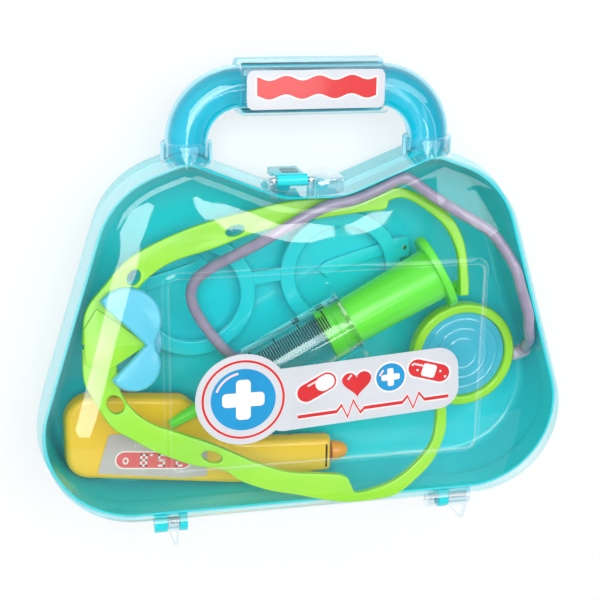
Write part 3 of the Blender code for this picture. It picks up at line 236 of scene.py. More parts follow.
def clear_plastic(name, tint, head_on=0.04, grazing=0.62, roughness=0.03):
    """Clear styrene: see-through, mirror-like where it turns away.

    The reflected share grows from head_on to grazing by a smooth step of the
    Layer Weight's facing value, on outer sides only. Rays from lamps pass.
    """
    made = Finish(name, (1, 1, 1), roughness)
    spot = made.place()
    clear = made.node("ShaderNodeBsdfTransparent", inputs={"Color": tint})
    wave = made.bump(made.noise(spot, 26.0, 1.0), 0.3, 0.1)
    gloss = made.node("ShaderNodeBsdfGlossy", inputs={"Color": (1, 1, 1), "Roughness": roughness,
                                                      "Normal": wave})
    facing = made.node("ShaderNodeLayerWeight", inputs={"Blend": 0.5, "Normal": wave}, out=1)
    turning = made.node("ShaderNodeMapRange", {"interpolation_type": "SMOOTHSTEP"},
                        {"Value": facing, "From Min": 0.22, "From Max": 0.85,
                         "To Min": head_on, "To Max": grazing})
    behind = made.node("ShaderNodeNewGeometry", out=6)
    lamp = made.node("ShaderNodeLightPath", out=1)
    haze = made.noise(spot, 3.0, 3.0) * 0.012
    seen = (turning + haze) * (1 - behind) * (1 - lamp)
    mixed = made.node("ShaderNodeMixShader", inputs=[seen, clear, gloss])
    made.surface(mixed)
    return made


TEAL = moulded("teal_polystyrene", srgb(0, 216, 226), srgb(0, 206, 217), 0.25, 0.4, 60)
HANDLE_TEAL = moulded("handle_teal", srgb(0, 198, 222), srgb(0, 186, 212), 0.22, 0.5, 40)
CLEAR = clear_plastic("clear_polystyrene", (0.985, 0.995, 1.0))
BARREL_CLEAR = clear_plastic("barrel_clear", (0.985, 0.995, 0.995), 0.05, 0.75)
LIME = moulded("lime_plastic", srgb(158, 228, 40), srgb(128, 214, 44), 0.30, 0.3, 35)
GREEN = moulded("bright_green", srgb(108, 236, 58), srgb(84, 222, 50), 0.30, 0.3, 30)
SKY = moulded("light_blue", srgb(92, 202, 228), srgb(70, 190, 220), 0.30, 0.3, 25)
YELLOW = moulded("yellow_plastic", srgb(255, 208, 44), srgb(255, 194, 26), 0.30, 0.3, 40)
# Orange of the tip; on the thermometer's back shell the same orange is painted shade of the yellow
# body's side.
ORANGE_TIP_AND_SHADE = moulded("orange_plastic", srgb(244, 160, 30), srgb(236, 146, 22), 0.30, 0.3, 30)
HOSE = moulded("lavender_hose", srgb(166, 152, 178), srgb(138, 124, 152), 0.30, 0.7, 6)
# A lighter copy of the hose's lavender: painted sheen on the elbow.
SHEEN_STEM = moulded("shiny_stem", srgb(196, 188, 206), srgb(170, 160, 184), 0.15, 0.8, 6)
STEEL = moulded("steel", srgb(190, 192, 196), srgb(170, 172, 176), 0.25, 0.0, 4)
STEEL.shader.inputs["Metallic"].default_value = 1.0
CLEAR_NAMES = ("clear", "barrel_clear")     # how the finishes that cast no shadow start


# Surfaces


def dense(points, step=0.6):
    """A closed outline with extra points on its long edges."""
    points = np.asarray(points, float)
    ahead = np.roll(points, -1, axis=0)
    count = np.maximum(1, np.ceil(np.linalg.norm(ahead - points, axis=1) / step)).astype(int)
    parts = [a + (b - a) * np.linspace(0, 1, n, endpoint=False)[:, None]
             for a, b, n in zip(points, ahead, count)]
    return np.concatenate(parts)


def rounded(corners, step=math.radians(3)):
    """Closed outline: each corner (x, y, radius) becomes an arc.

    The arc's centre lies on the corner's bisector at radius / sin(half the
    corner's angle), and the arc turns by 180 degrees minus that angle.
    """
    corners = [(np.array(c[:2], float), c[2]) for c in corners]
    points = []
    for index, (here, radius) in enumerate(corners):
        back = corners[index - 1][0] - here
        ahead = corners[(index + 1) % len(corners)][0] - here
        back, ahead = back / np.linalg.norm(back), ahead / np.linalg.norm(ahead)
        half = math.acos(np.clip(back @ ahead, -1, 1)) / 2
        if radius <= 0:
            points.append(here[None])
            continue
        middle = (back + ahead) / np.linalg.norm(back + ahead)
        centre = here + middle * radius / math.sin(half)
        start = here + back * radius / math.tan(half) - centre
        sweep = math.pi - 2 * half
        side = 1 if back[0] * ahead[1] - back[1] * ahead[0] < 0 else -1
        turn = side * np.linspace(0, sweep, max(2, round(sweep / step)))
        points.append(centre + np.stack((start[0] * np.cos(turn) - start[1] * np.sin(turn),
                                         start[0] * np.sin(turn) + start[1] * np.cos(turn)), 1))
    return np.concatenate(points)


def case_outline():
    """Outline of both case halves, counter-clockwise from the bottom right."""
    right = list(OUTLINE_CORNERS)
    left = [(-x, y, radius) for x, y, radius in reversed(right)]
    return dense(rounded(right + left))


def flat_spin(turn):
    """2 x 2 matrix that turns flat points counter-clockwise."""
    return np.array(((math.cos(turn), -math.sin(turn)), (math.sin(turn), math.cos(turn))))


def rectangle(width, height, radius, x=0.0, y=0.0, turn=0.0):
    """Rounded rectangle about a centre, counter-clockwise."""
    spin = flat_spin(turn)
    corners = [(*(spin @ np.array((sx * width / 2, sy * height / 2)) + (x, y)), radius)
               for sx, sy in ((-1, -1), (1, -1), (1, 1), (-1, 1))]
    return rounded(corners)


def by_angle(outline, centre, angles):
    """The outline's points at given angles about a centre."""
    away = outline - np.array(centre)
    turn = np.arctan2(away[:, 1], away[:, 0])
    order = np.argsort(turn)
    reach = np.interp(angles, turn[order], np.linalg.norm(away, axis=1)[order],
                      period=2 * math.pi)
    return np.array(centre) + reach[:, None] * np.stack((np.cos(angles), np.sin(angles)), 1)


def inset(outline, distance):
    """Each point moved inwards along the outline's normal."""
    way = np.roll(outline, -1, axis=0) - np.roll(outline, 1, axis=0)
    way /= np.linalg.norm(way, axis=1)[:, None]
    return outline + np.stack((-way[:, 1], way[:, 0]), 1) * distance


def level(outline, z):
    """An outline at a height, or at one height for each point."""
    return np.column_stack((outline, np.broadcast_to(z, len(outline))))


def placed(name, data):
    """A new object of the scene."""
    made = bpy.data.objects.new(name, data)
    bpy.context.scene.collection.objects.link(made)
    return made


def make(name, points, faces, finish, body, replaced=None, sharp=40):
    """A finished piece from points in the drawing frame, riding on a body."""
    mesh = bpy.data.meshes.new(name)
    mesh.from_pydata(to_row(points), [], faces)
    bm = bmesh.new()
    bm.from_mesh(mesh)
    bmesh.ops.remove_doubles(bm, verts=bm.verts, dist=SAME_POINT * MM)
    bmesh.ops.recalc_face_normals(bm, faces=bm.faces)
    bm.to_mesh(mesh)
    bm.free()
    mesh.shade_smooth()
    mesh.set_sharp_from_angle(angle=math.radians(sharp))
    made = placed(name, mesh)
    mesh.materials.append(finish.material)
    made.visible_shadow = not finish.material.name.startswith(CLEAR_NAMES)
    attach(made, body)
    if replaced:
        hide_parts(replaced)
    return made


def strip_faces(rows, columns, closed_columns=True, closed_rows=False):
    """Quads between the rows of a grid of points."""
    row_steps = rows if closed_rows else rows - 1
    column_steps = columns if closed_columns else columns - 1
    r, c = np.meshgrid(np.arange(row_steps), np.arange(column_steps), indexing="ij")
    r, c = r.ravel(), c.ravel()
    r2, c2 = (r + 1) % rows, (c + 1) % columns
    return np.stack((r * columns + c, r * columns + c2, r2 * columns + c2, r2 * columns + c), 1)


def loft(rings):
    """Closed rings of equal length joined in order, with flat end caps."""
    rings = np.asarray(rings)
    count = rings.shape[1]
    last = (len(rings) - 1) * count
    faces = strip_faces(len(rings), count).tolist()
    faces += [list(range(count)), list(range(last, last + count))]
    return rings.reshape(-1, 3), faces


def skin(outer, inner):
    """A wall between two open grids of the same shape, closed at its rims."""
    rows, columns = outer.shape[:2]
    faces = strip_faces(rows, columns, False)
    count = rows * columns
    faces = faces.tolist() + (faces[:, ::-1] + count).tolist()
    grid = np.arange(count).reshape(rows, columns)
    rim = np.concatenate((grid[0, :-1], grid[:-1, -1], grid[-1, :0:-1], grid[:0:-1, 0]))
    ahead = np.roll(rim, -1)
    faces += np.stack((ahead, rim, rim + count, ahead + count), 1).tolist()
    return np.concatenate((outer.reshape(-1, 3), inner.reshape(-1, 3))), faces


def lay_out(matrix, points):
    """Points moved from a piece's own frame into the drawing frame."""
    return np.asarray(points) @ matrix[:3, :3].T + matrix[:3, 3]


def turned(profile, sides, matrix):
    """A profile of (radius, height) turned about its own Z, then laid out.

    A profile that starts on the axis is open and its poles close by merging;
    one that starts off it is a closed loop.
    """
    profile = np.asarray(profile, float)
    angle = np.linspace(0, 2 * math.pi, sides, endpoint=False)
    rings = np.stack((profile[:, 0, None] * np.cos(angle), profile[:, 0, None] * np.sin(angle),
                      np.broadcast_to(profile[:, 1, None], (len(profile), sides))), 2)
    points = lay_out(matrix, rings.reshape(-1, 3))
    closed = profile[0, 0] > 0
    return points, strip_faces(len(profile), sides, True, closed).tolist()


def soften(profile, radius, steps=5):
    """An open profile with its inner corners rounded."""
    profile = np.asarray(profile, float)
    points = [profile[0]]
    for a, b, c in zip(profile, profile[1:], profile[2:]):
        back, ahead = a - b, c - b
        reach = min(radius, np.linalg.norm(back) * 0.45, np.linalg.norm(ahead) * 0.45)
        start = b + back / np.linalg.norm(back) * reach
        end = b + ahead / np.linalg.norm(ahead) * reach
        t = np.linspace(0, 1, steps)[:, None]
        points.extend((1 - t) ** 2 * start + 2 * t * (1 - t) * b + t ** 2 * end)
    points.append(profile[-1])
    return np.array(points)


def rod(radius, length, sides, matrix, edge=0.3):
    """A round bar from its foot along an axis, its ends softened."""
    return turned(soften([(0, 0), (radius, 0), (radius, length), (0, length)], edge), sides,
                  matrix)


def sleeve(bore, radius, length, edge, sides, matrix):
    """A round bar with a bore through it, its rims softened."""
    return turned(soften([(bore, 0), (radius, 0), (radius, length), (bore, length), (bore, 0)],
                         edge), sides, matrix)


def join(*parts):
    """Several point and face lists as one."""
    points, faces, start = [], [], 0
    for part_points, part_faces in parts:
        points.append(part_points)
        faces += [[i + start for i in face] for face in part_faces]
        start += len(part_points)
    return np.concatenate(points), faces


def catmull(points, steps):
    """A smooth curve through points: cubic between each pair, tangents from
    the neighbours' difference."""
    points = np.asarray(points, float)
    padded = np.concatenate((2 * points[:1] - points[1:2], points,
                             2 * points[-1:] - points[-2:-1]))
    a, b, c, d = padded[:-3, None], padded[1:-2, None], padded[2:-1, None], padded[3:, None]
    t = np.linspace(0, 1, steps, endpoint=False)[None, :, None]
    line = 0.5 * (2 * b + (c - a) * t + (2 * a - 5 * b + 4 * c - d) * t ** 2
                  + (3 * b - a - 3 * c + d) * t ** 3)
    return np.concatenate((line.reshape(-1, points.shape[1]), points[-1:]))


def tube(points, radius, sides):
    """A round tube along a line, its rings turned with the line's direction."""
    points = np.asarray(points, float)
    way = np.gradient(points, axis=0)
    way /= np.linalg.norm(way, axis=1)[:, None]
    side = np.cross(way[0], (0, 0, 1.0) if abs(way[0][2]) < 0.9 else (1.0, 0, 0))
    rings = []
    angle = np.linspace(0, 2 * math.pi, sides, endpoint=False)[:, None]
    for here, ahead in zip(points, way):
        side = side - ahead * (side @ ahead)
        side /= np.linalg.norm(side)
        up = np.cross(ahead, side)
        rings.append(here + radius * (np.cos(angle) * side + np.sin(angle) * up))
    return loft(rings)


def flat_plate(outlines, low, high, edge, matrix=None, steps=3):
    """A flat plate with holes and rounded rims, filled by a 2D curve."""
    curve = bpy.data.curves.new("outline", "CURVE")
    curve.dimensions = "2D"
    curve.fill_mode = "BOTH"
    curve.extrude = (high - low) / 2 - edge
    curve.bevel_depth = edge
    curve.bevel_resolution = steps
    curve.offset = -edge
    for points in outlines:
        spline = curve.splines.new("POLY")
        spline.points.add(len(points) - 1)
        spline.points.foreach_set("co", np.column_stack((points, np.zeros(len(points)),
                                                         np.ones(len(points)))).ravel())
        spline.use_cyclic_u = True
    holder = placed("outline", curve)
    evaluated = holder.evaluated_get(bpy.context.evaluated_depsgraph_get())
    mesh = bpy.data.meshes.new_from_object(evaluated)
    points = np.empty(len(mesh.vertices) * 3)
    mesh.vertices.foreach_get("co", points)
    points = points.reshape(-1, 3) + (0, 0, (low + high) / 2)
    faces = [list(face.vertices) for face in mesh.polygons]
    bpy.data.objects.remove(holder)
    bpy.data.meshes.remove(mesh)
    bpy.data.curves.remove(curve)
    return points if matrix is None else lay_out(matrix, points), faces


def slab(low, high, edge):
    """A box with rounded vertical and horizontal edges: a squared sphere whose
    poles are flat, from rings that grow by the edge radius."""
    low, high = np.asarray(low, float), np.asarray(high, float)
    size, middle = high - low, (high + low) / 2
    edge = min(edge, size.min() / 2 - 1e-3)
    rings = []
    for step in np.linspace(0, math.pi / 2, 4):
        shrink = edge * (1 - math.sin(step))
        z = low[2] + edge * (1 - math.cos(step))
        rings.append((shrink, z))
    rings += [(shrink, low[2] + high[2] - z) for shrink, z in reversed(rings)]
    return loft([level(rectangle(size[0] - 2 * s, size[1] - 2 * s, max(edge - s, LEAST_ROUND),
                                 middle[0], middle[1]), z) for s, z in rings])


def along(axis, start):
    """Matrix that turns +Z onto an axis and moves to a start point."""
    spin = Vector((0, 0, 1)).rotation_difference(Vector(axis)).to_matrix()
    made = np.eye(4)
    made[:3, :3] = np.array(spin)
    made[:3, 3] = start
    return made


OUTLINE = case_outline()
AROUND = 560
ANGLES = np.linspace(-math.pi, math.pi, AROUND, endpoint=False)
CASE_RING = by_angle(OUTLINE, MIDDLE, ANGLES)


def nearest_edge(points):
    """Distance of each point from the case's outline."""
    return np.sqrt(((points[:, None] - OUTLINE[None]) ** 2).sum(2).min(1))


def lid_rings(sunk):
    """Rings of the lid's face, from its rim to the middle of the raised field.

    The wall leans in by the draft, turns over an arc of the edge radius, then
    the face climbs as a parabola of the distance from the outline, and the
    field steps up by a smooth ramp with a fine bead, a Gaussian, at its foot
    and at its top. sunk is the wall's depth below the face.
    """
    arc_z = LID_TOP - CROWN_RISE - LID_EDGE * math.sin(FACE_TILT)
    arc_in = LID_DRAFT + LID_EDGE
    radius = LID_EDGE - sunk
    rings = [level(inset(CASE_RING, sunk), PARTING_Z + GAP / 2)]
    for tilt in np.linspace(math.radians(4), FACE_TILT, 14):
        rings.append(level(inset(CASE_RING, arc_in - radius * math.cos(tilt)),
                           arc_z + radius * math.sin(tilt)))
    first_in = arc_in - radius * math.cos(FACE_TILT)
    outer = inset(CASE_RING, first_in)
    half = PANEL["step"] / 2
    panel = dense(rectangle(PANEL["width"] + 2 * half, PANEL["height"] + 2 * half,
                            PANEL["radius"] + half, PANEL["x"], PANEL["y"]))
    angles = np.arctan2(outer[:, 1] - MIDDLE[1], outer[:, 0] - MIDDLE[0])
    inner = by_angle(panel, (PANEL["x"], PANEL["y"]), angles)

    def height(points):
        climb = np.clip((nearest_edge(points) - first_in) / CROWN_REACH, 0, 1)
        made = LID_TOP - CROWN_RISE * (1 - climb) ** 2 - sunk
        kernel = np.hanning(2 * SMOOTHED + 1)
        return np.convolve(np.concatenate((made[-SMOOTHED:], made, made[:SMOOTHED])),
                           kernel / kernel.sum(), "valid")

    for share in np.linspace(0, 1, 22)[1:]:
        points = outer + (inner - outer) * share
        rings.append(level(points, height(points)))
    base = rings[-1][:, 2]
    beads = np.array(BEADS_AT)
    for share in (0.03, 0.06, 0.09, 0.12, 0.15, 0.18, 0.24, 0.4, 0.6, 0.76, 0.82, 0.85, 0.88, 0.91,
                  0.94, 1.0):
        narrower = rectangle(PANEL["width"] + 2 * half * (1 - 2 * share),
                             PANEL["height"] + 2 * half * (1 - 2 * share),
                             PANEL["radius"] + half * (1 - 2 * share), PANEL["x"], PANEL["y"])
        points = by_angle(dense(narrower), (PANEL["x"], PANEL["y"]), angles)
        ramp = np.clip((share - RAMP_FROM) / RAMP_WIDTH, 0, 1)
        rise = (PANEL["rise"] * ramp * ramp * (3 - 2 * ramp)
                + BEAD_RISE * np.exp(-((share - beads) / BEAD_WIDTH) ** 2).sum())
        rings.append(level(points, base * (1 - share) + (LID_TOP - sunk) * share + rise))
    edge = rings[-1]
    centre = np.array((PANEL["x"], PANEL["y"]))
    for share in (0.2, 0.45, 0.7, 0.9, 0.995):
        points = edge[:, :2] + (centre - edge[:, :2]) * share
        rings.append(level(points, LID_TOP - sunk + PANEL["rise"]))
    return rings


def make_lid():
    """Clear lid: outer and inner faces joined at the rim."""
    outer = lid_rings(0.0)
    inner = lid_rings(LID_WALL)
    make("lid_face", *loft(outer[::-1] + inner), CLEAR, "lid", "lid_shell", 30)


def make_back():
    """Teal tray: floor, rounded edge, drafted wall, lip, and the same inside."""
    quarter = np.linspace(0, math.pi / 2, 9)
    outside = [(BACK_DRAFT + BACK_EDGE * (1 - math.sin(t)), BACK_EDGE * (1 - math.cos(t)))
               for t in quarter]
    inner_edge = BACK_EDGE - BACK_WALL
    inside = [(BACK_DRAFT + BACK_WALL + inner_edge * (1 - math.sin(t)),
               BACK_WALL + inner_edge * (1 - math.cos(t))) for t in quarter[::-1]]
    rim = PARTING_Z - GAP / 2
    lip_out = LID_WALL + LIP_SETBACK
    lip_in = lip_out + LIP_WALL
    levels = outside + [(0, rim), (lip_out, rim), (lip_out, rim + LIP_HEIGHT),
                        (lip_in, rim + LIP_HEIGHT), (lip_in, rim - LIP_ROOT),
                        (BACK_WALL, rim - LIP_ROOT)] + inside
    rings = [level(inset(CASE_RING, distance), z) for distance, z in levels]
    make("back_tray", *loft(rings), TEAL, "case", "back_shell", 30)


def handle_line():
    """Centre line of the handle from the left collar to the right one."""
    turn = np.linspace(math.pi, math.pi / 2, 20)
    bend = np.stack((-HANDLE_HALF + HANDLE_BEND * (1 + np.cos(turn)),
                     HANDLE_Y - HANDLE_BEND * (1 - np.sin(turn))), 1)
    left = np.concatenate(([(-HANDLE_HALF, TUBE_FOOT)], bend))
    right = left[::-1] * (-1, 1)
    return np.concatenate((left, right))


def half_turn(front, count):
    """Angles across the front or the rear half of a section."""
    start = 0 if front else math.pi
    return np.linspace(start, start + math.pi, count)


def seam(front):
    """Height at which a half meets the gap along the parting face."""
    return PARTING_Z + (GAP / 2 if front else -GAP / 2)


def half_pipe(radius, front):
    """Grid of a half pipe about the handle's line: rows along it, columns round."""
    line = handle_line()
    way = np.gradient(line, axis=0)
    way /= np.linalg.norm(way, axis=1)[:, None]
    side = np.stack((-way[:, 1], way[:, 0]), 1)
    turn = half_turn(front, 25)
    flat = line[:, None] + side[:, None] * (radius * np.cos(turn))[None, :, None]
    up = seam(front) + radius * np.sin(turn)
    return np.concatenate((flat, np.broadcast_to(up[None, :, None], flat.shape[:2] + (1,))), 2)


def squared(turn, height, thick, corner):
    """Radius of a rounded box section in the direction of each angle."""
    outline = dense(rectangle(height, thick, corner), 0.3)
    return by_angle(outline, (0, 0), turn)


def grip_grid(shrink, front):
    """Grid of half the grip: sections along X swell from the tube to a box."""
    half = GRIP_LENGTH / 2 - shrink
    turn = half_turn(front, 41)
    box = squared(turn, GRIP_HEIGHT - 2 * shrink, GRIP_THICK - 2 * shrink, GRIP_ROUND - shrink)
    box_small = squared(turn, GRIP_HEIGHT - 2 * shrink - 2.4, GRIP_THICK - 2 * shrink - 2.4,
                        GRIP_ROUND - shrink)
    pipe = np.stack((np.cos(turn), np.sin(turn)), 1) * (TUBE_RADIUS - shrink)
    sections = [(-half, pipe), (-half, box_small), (-half + 0.35, box - (box - box_small) * 0.3),
                (-half + 1.2, box), (half - 1.2, box), (half - 0.35, box - (box - box_small) * 0.3),
                (half, box_small), (half, pipe)]
    return np.stack([np.column_stack((np.full(len(turn), x), HANDLE_Y + section[:, 0],
                                      seam(front) + section[:, 1]))
                     for x, section in sections])


def collar_grid(x, radius, front, wall=0.0):
    """Grid of half a collar with a softened top edge."""
    turn = half_turn(front, 25)
    sections = [(COLLAR_FOOT, radius), (COLLAR_TOP - 1.0 - wall, radius),
                (COLLAR_TOP - 0.3 - wall, radius - 0.4), (COLLAR_TOP - wall, radius - 1.2),
                (COLLAR_TOP - wall, TUBE_RADIUS - wall)]
    return np.stack([np.column_stack((x + reach * np.cos(turn), np.full(len(turn), y),
                                      seam(front) + reach * np.sin(turn)))
                     for y, reach in sections])


def make_handle(front):
    """Half of the handle: pipe, collars and grip in one piece."""
    name, body, finish = (("handle_front", "lid", CLEAR) if front
                          else ("handle_rear", "case", HANDLE_TEAL))
    parts = [skin(half_pipe(TUBE_RADIUS, front), half_pipe(TUBE_RADIUS - TUBE_WALL, front)),
             skin(grip_grid(0, front), grip_grid(GRIP_WALL, front))]
    for x in (-HANDLE_HALF, HANDLE_HALF):
        parts.append(skin(collar_grid(x, COLLAR_RADIUS, front),
                          collar_grid(x, COLLAR_RADIUS - COLLAR_WALL, front, COLLAR_WALL)))
    make(name, *join(*parts), finish, body)


# Camera: place and turn of the photograph's camera, found from the case's edges

CAMERA_AT = (-121.73, 272.03, 548.43)
TILT, LEAN, ROLL = 0.3199, 0.2128, 0.0555
FOCAL_PIXELS, PHOTO_PIXELS, SENSOR = 1226.79, 600, 36


def make_camera():
    """Camera whose three turns are about X, Y and Z in the drawing frame."""
    turn = (Matrix.Rotation(ROLL, 3, "Z") @ Matrix.Rotation(LEAN, 3, "Y")
            @ Matrix.Rotation(TILT, 3, "X"))
    camera = bpy.data.cameras.new("camera")
    camera.sensor_width = SENSOR
    camera.lens = FOCAL_PIXELS / PHOTO_PIXELS * SENSOR
    camera.clip_start = 0.01
    holder = placed("camera", camera)
    holder.matrix_world = (Matrix.Translation(Vector(to_row(CAMERA_AT)))
                           @ turn.transposed().to_4x4())
    bpy.context.scene.camera = holder


make_camera()


def frame_at(place, *turns):
    """4 x 4 matrix: a place in the drawing frame, then turns as (angle, axis)."""
    made = Matrix.Translation(Vector([float(c) for c in place]))
    for angle, axis in turns:
        made = made @ Matrix.Rotation(angle, 4, axis)
    return np.array(made)


# Hose, a cord along a listed route

HEADSET = frame_at(YOKE, (HEADSET_TILT, "X"))
ARM_THICK = 4.0
YOKE_PLATE = 4.0
CHEST = np.array((79.7, 64.8, 22.5))
CHEST_RADIUS, STEM_RADIUS, STEM_BEND = 26.0, 3.4, 4.5
STEM_ASIDE, STEM_Z, STEM_LEAD = 2.2, 18.0, 0.8
HOSE_DIAMETER = 5.2
HOSE_POINTS = (
    (110.5, 68.7, 24.3), (110.3, 71.4, 27.4), (109.7, 74.6, 30.8), (107.9, 78.4, 34.0),
    (106.0, 83.2, 36.6), (104.9, 89.0, 38.0), (102.8, 95.4, 38.2),
    (100.2, 102.8, 37.8), (98.0, 110.4, 36.9), (95.2, 116.0, 35.6),
    (91.3, 122.1, 34.4), (85.8, 128.8, 33.4), (78.0, 134.1, 32.6), (69.2, 139.1, 32.2),
    (60.8, 144.3, 32.0), (52.9, 149.7, 32.0), (47.1, 154.0, 32.0), (43.7, 155.7, 32.0),
    (40.0, 155.1, 32.0), (34.5, 152.6, 32.0), (28.6, 149.8, 32.0), (18.8, 146.4, 32.0),
    (8.2, 144.2, 31.6), (-4.3, 138.5, 31.4), (-14.6, 132.6, 30.8),
    (-22.5, 127.6, 28.4), (-29.6, 122.8, 24.8), (-36.2, 118.2, 20.6),
    (-43.2, 113.2, 16.8), (-49.0, 107.7, 14.3), (-51.4, 101.0, 13.0),
    (-50.0, 93.8, 12.6), (-46.6, 87.0, 12.4), (-42.8, 81.2, 12.4), (-39.1, 76.1, 12.5),
    (-35.8, 72.0, 12.0), (-32.6, 68.6, 10.0), (-29.2, 65.4, 7.7), (-25.3, 62.6, 6.0),
    (-20.0, 59.4, 5.7), (-14.0, 55.6, 5.7), (-8.5, 50.6, 5.4), (-5.8, 44.0, 5.4),
    (-7.2, 37.2, 5.4), (-12.2, 32.4, 5.4), (-19.5, 30.8, 5.4), (-28.0, 31.2, 5.4),
    (-37.0, 32.8, 5.4), (-46.0, 35.0, 5.4), (-55.0, 37.6, 5.4), (-64.0, 40.7, 5.4),
    (-72.5, 44.7, 5.4), (-80.2, 49.5, 5.4), (-86.7, 55.0, 5.4), (-90.8, 60.8, 6.8),
    (-92.4, 66.0, 10.0), (-92.3, 70.2, 14.2))
HOSE_STRAIGHT = 3.0
SOCKET_LENGTH, SOCKET_RADIUS = 7.0, 4.1
SOCKET_AT = np.array((8.0, -6.0, -ARM_THICK / 2 - GAP - YOKE_PLATE / 2))    # in the headset


def stem_path():
    """Elbow from the ring's side, turning from +X to the hose's first way."""
    way = np.array((0, math.cos(math.pi / 4), math.sin(math.pi / 4)))
    start = np.array((CHEST[0] + CHEST_RADIUS + GAP, CHEST[1] - STEM_ASIDE, STEM_Z))
    turn = np.linspace(0, math.pi / 2, 15)[:, None]
    bend = (start + (STEM_LEAD, 0, 0) + STEM_BEND * (np.sin(turn) * (1, 0, 0)
                                                     + (1 - np.cos(turn)) * way))
    return np.concatenate((start[None], bend)), way


def hose_path():
    """Out of the elbow, along the route, into the yoke's back plate."""
    elbow, way = stem_path()
    first = elbow[-1] + way * GAP
    target = lay_out(HEADSET, SOCKET_AT)
    aim = target - HOSE_POINTS[-1]
    aim /= np.linalg.norm(aim)
    last = target - aim * (SOCKET_LENGTH + GAP)
    return catmull([first, first + way * HOSE_STRAIGHT, *HOSE_POINTS,
                    last - aim * HOSE_STRAIGHT, last], 6)


def make_hose():
    """The soft hose, lying where the photograph shows it."""
    path = hose_path()
    made = make("hose", *tube(path, HOSE_DIAMETER / 2, 28), HOSE, "case", "hose", 50)
    row = to_row(path)


make_hose()


# Case

HINGES = (                   # body, start and width of each barrel
    ("case", -72.5, 6.2), ("lid", -66.0, 5.1), ("case", -60.6, 3.8),
    ("lid", 61.5, 5.5), ("case", 67.3, 4.8), ("lid", 72.4, 11.0))
FINS = (("fin_left", -66.0, 5.1), ("fin_right", 72.4, 11.0))
HINGE_PINS = (("hinge_pin_left", -72.5, 15.7), ("hinge_pin_right", 61.5, 21.9))
HINGE_RADIUS, HINGE_BORE, HINGE_PIN = 5.2, 1.6, 1.3
FIN_TIP_Y, FIN_ROOT_Y, FIN_HALF = -19.0, -10.0, 1.8
LATCH_X, LATCH_Y, LATCH_Z = -10.7, 158.8, 41.5
LATCH_RADIUS, LATCH_BORE, LATCH_PIN, LATCH_PIN_LENGTH = 2.6, 1.3, 1.0, 19.6
FLAP_HALF, FLAP_LENGTH, LEAF_HALF = 6.7, 21.5, 1.6
LUGS_X, LUGS_Y, LUG_REACH, LUG_WIDTH = (LATCH_X - 9.8, LATCH_X + 7.0), 151.1, 2.6, 2.8
TAB_X, TAB_Y, TAB_HALF, TAB_THICK = 6.3, 159.4, 6.2, 2.2
CATCH_HALF, CATCH_Y, CATCH_Z = 3.25, (150.9, 156.9), (22.0, 25.0)
CLEAR_EDGE = clear_plastic("clear_thick", (0.82, 0.93, 0.965), 0.16, 0.75, 0.08)
# A darker copy of the teal: painted shade for the latch flap's window.
WINDOW_SHADE = moulded("latch_window", srgb(16, 128, 138), srgb(10, 108, 120), 0.35, 0.3, 10)


def hinge_axis(x):
    """Matrix of a piece that runs along the hinge's axis from x."""
    return along((1, 0, 0), (x, HINGE_Y, PARTING_Z))


def hinge_parts(x, width, low):
    """A hinge barrel with the arm that carries it, under or over the seam."""
    barrel = sleeve(HINGE_BORE, HINGE_RADIUS, width, 0.5, 48, hinge_axis(x))
    bottom, top = (-HINGE_RADIUS, -GAP) if low else (GAP, HINGE_RADIUS)
    arm = slab((x, HINGE_Y + 1.5, PARTING_Z + bottom), (x + width, 0.9, PARTING_Z + top), 0.4)
    return join(barrel, arm)


def make_hinges():
    """Barrels of both hinges and the pointed fins that stop the open lid."""
    for body, x, width in HINGES:
        finish = TEAL if body == "case" else CLEAR_EDGE
        make("barrel_%d" % round(x), *hinge_parts(x, width, body == "case"), finish, body)
    for name, x, width in FINS:
        tip = x + width * 0.75
        outline = dense(rounded([(tip - 1.0, FIN_TIP_Y, 0.6), (tip + 1.0, FIN_TIP_Y, 0.6),
                                 (x + width, FIN_ROOT_Y, 0.5), (x, FIN_ROOT_Y, 0.5)]))
        make(name, *flat_plate([outline], PARTING_Z - FIN_HALF, PARTING_Z + FIN_HALF, 0.5),
             CLEAR_EDGE, "lid")
    for name, x, length in HINGE_PINS:
        make(name, *rod(HINGE_PIN, length, 32, hinge_axis(x)), STEEL, "case", name)


def latch_axis(x):
    """Matrix of a piece that runs along the latch's axis from x."""
    return along((1, 0, 0), (x, LATCH_Y, LATCH_Z))


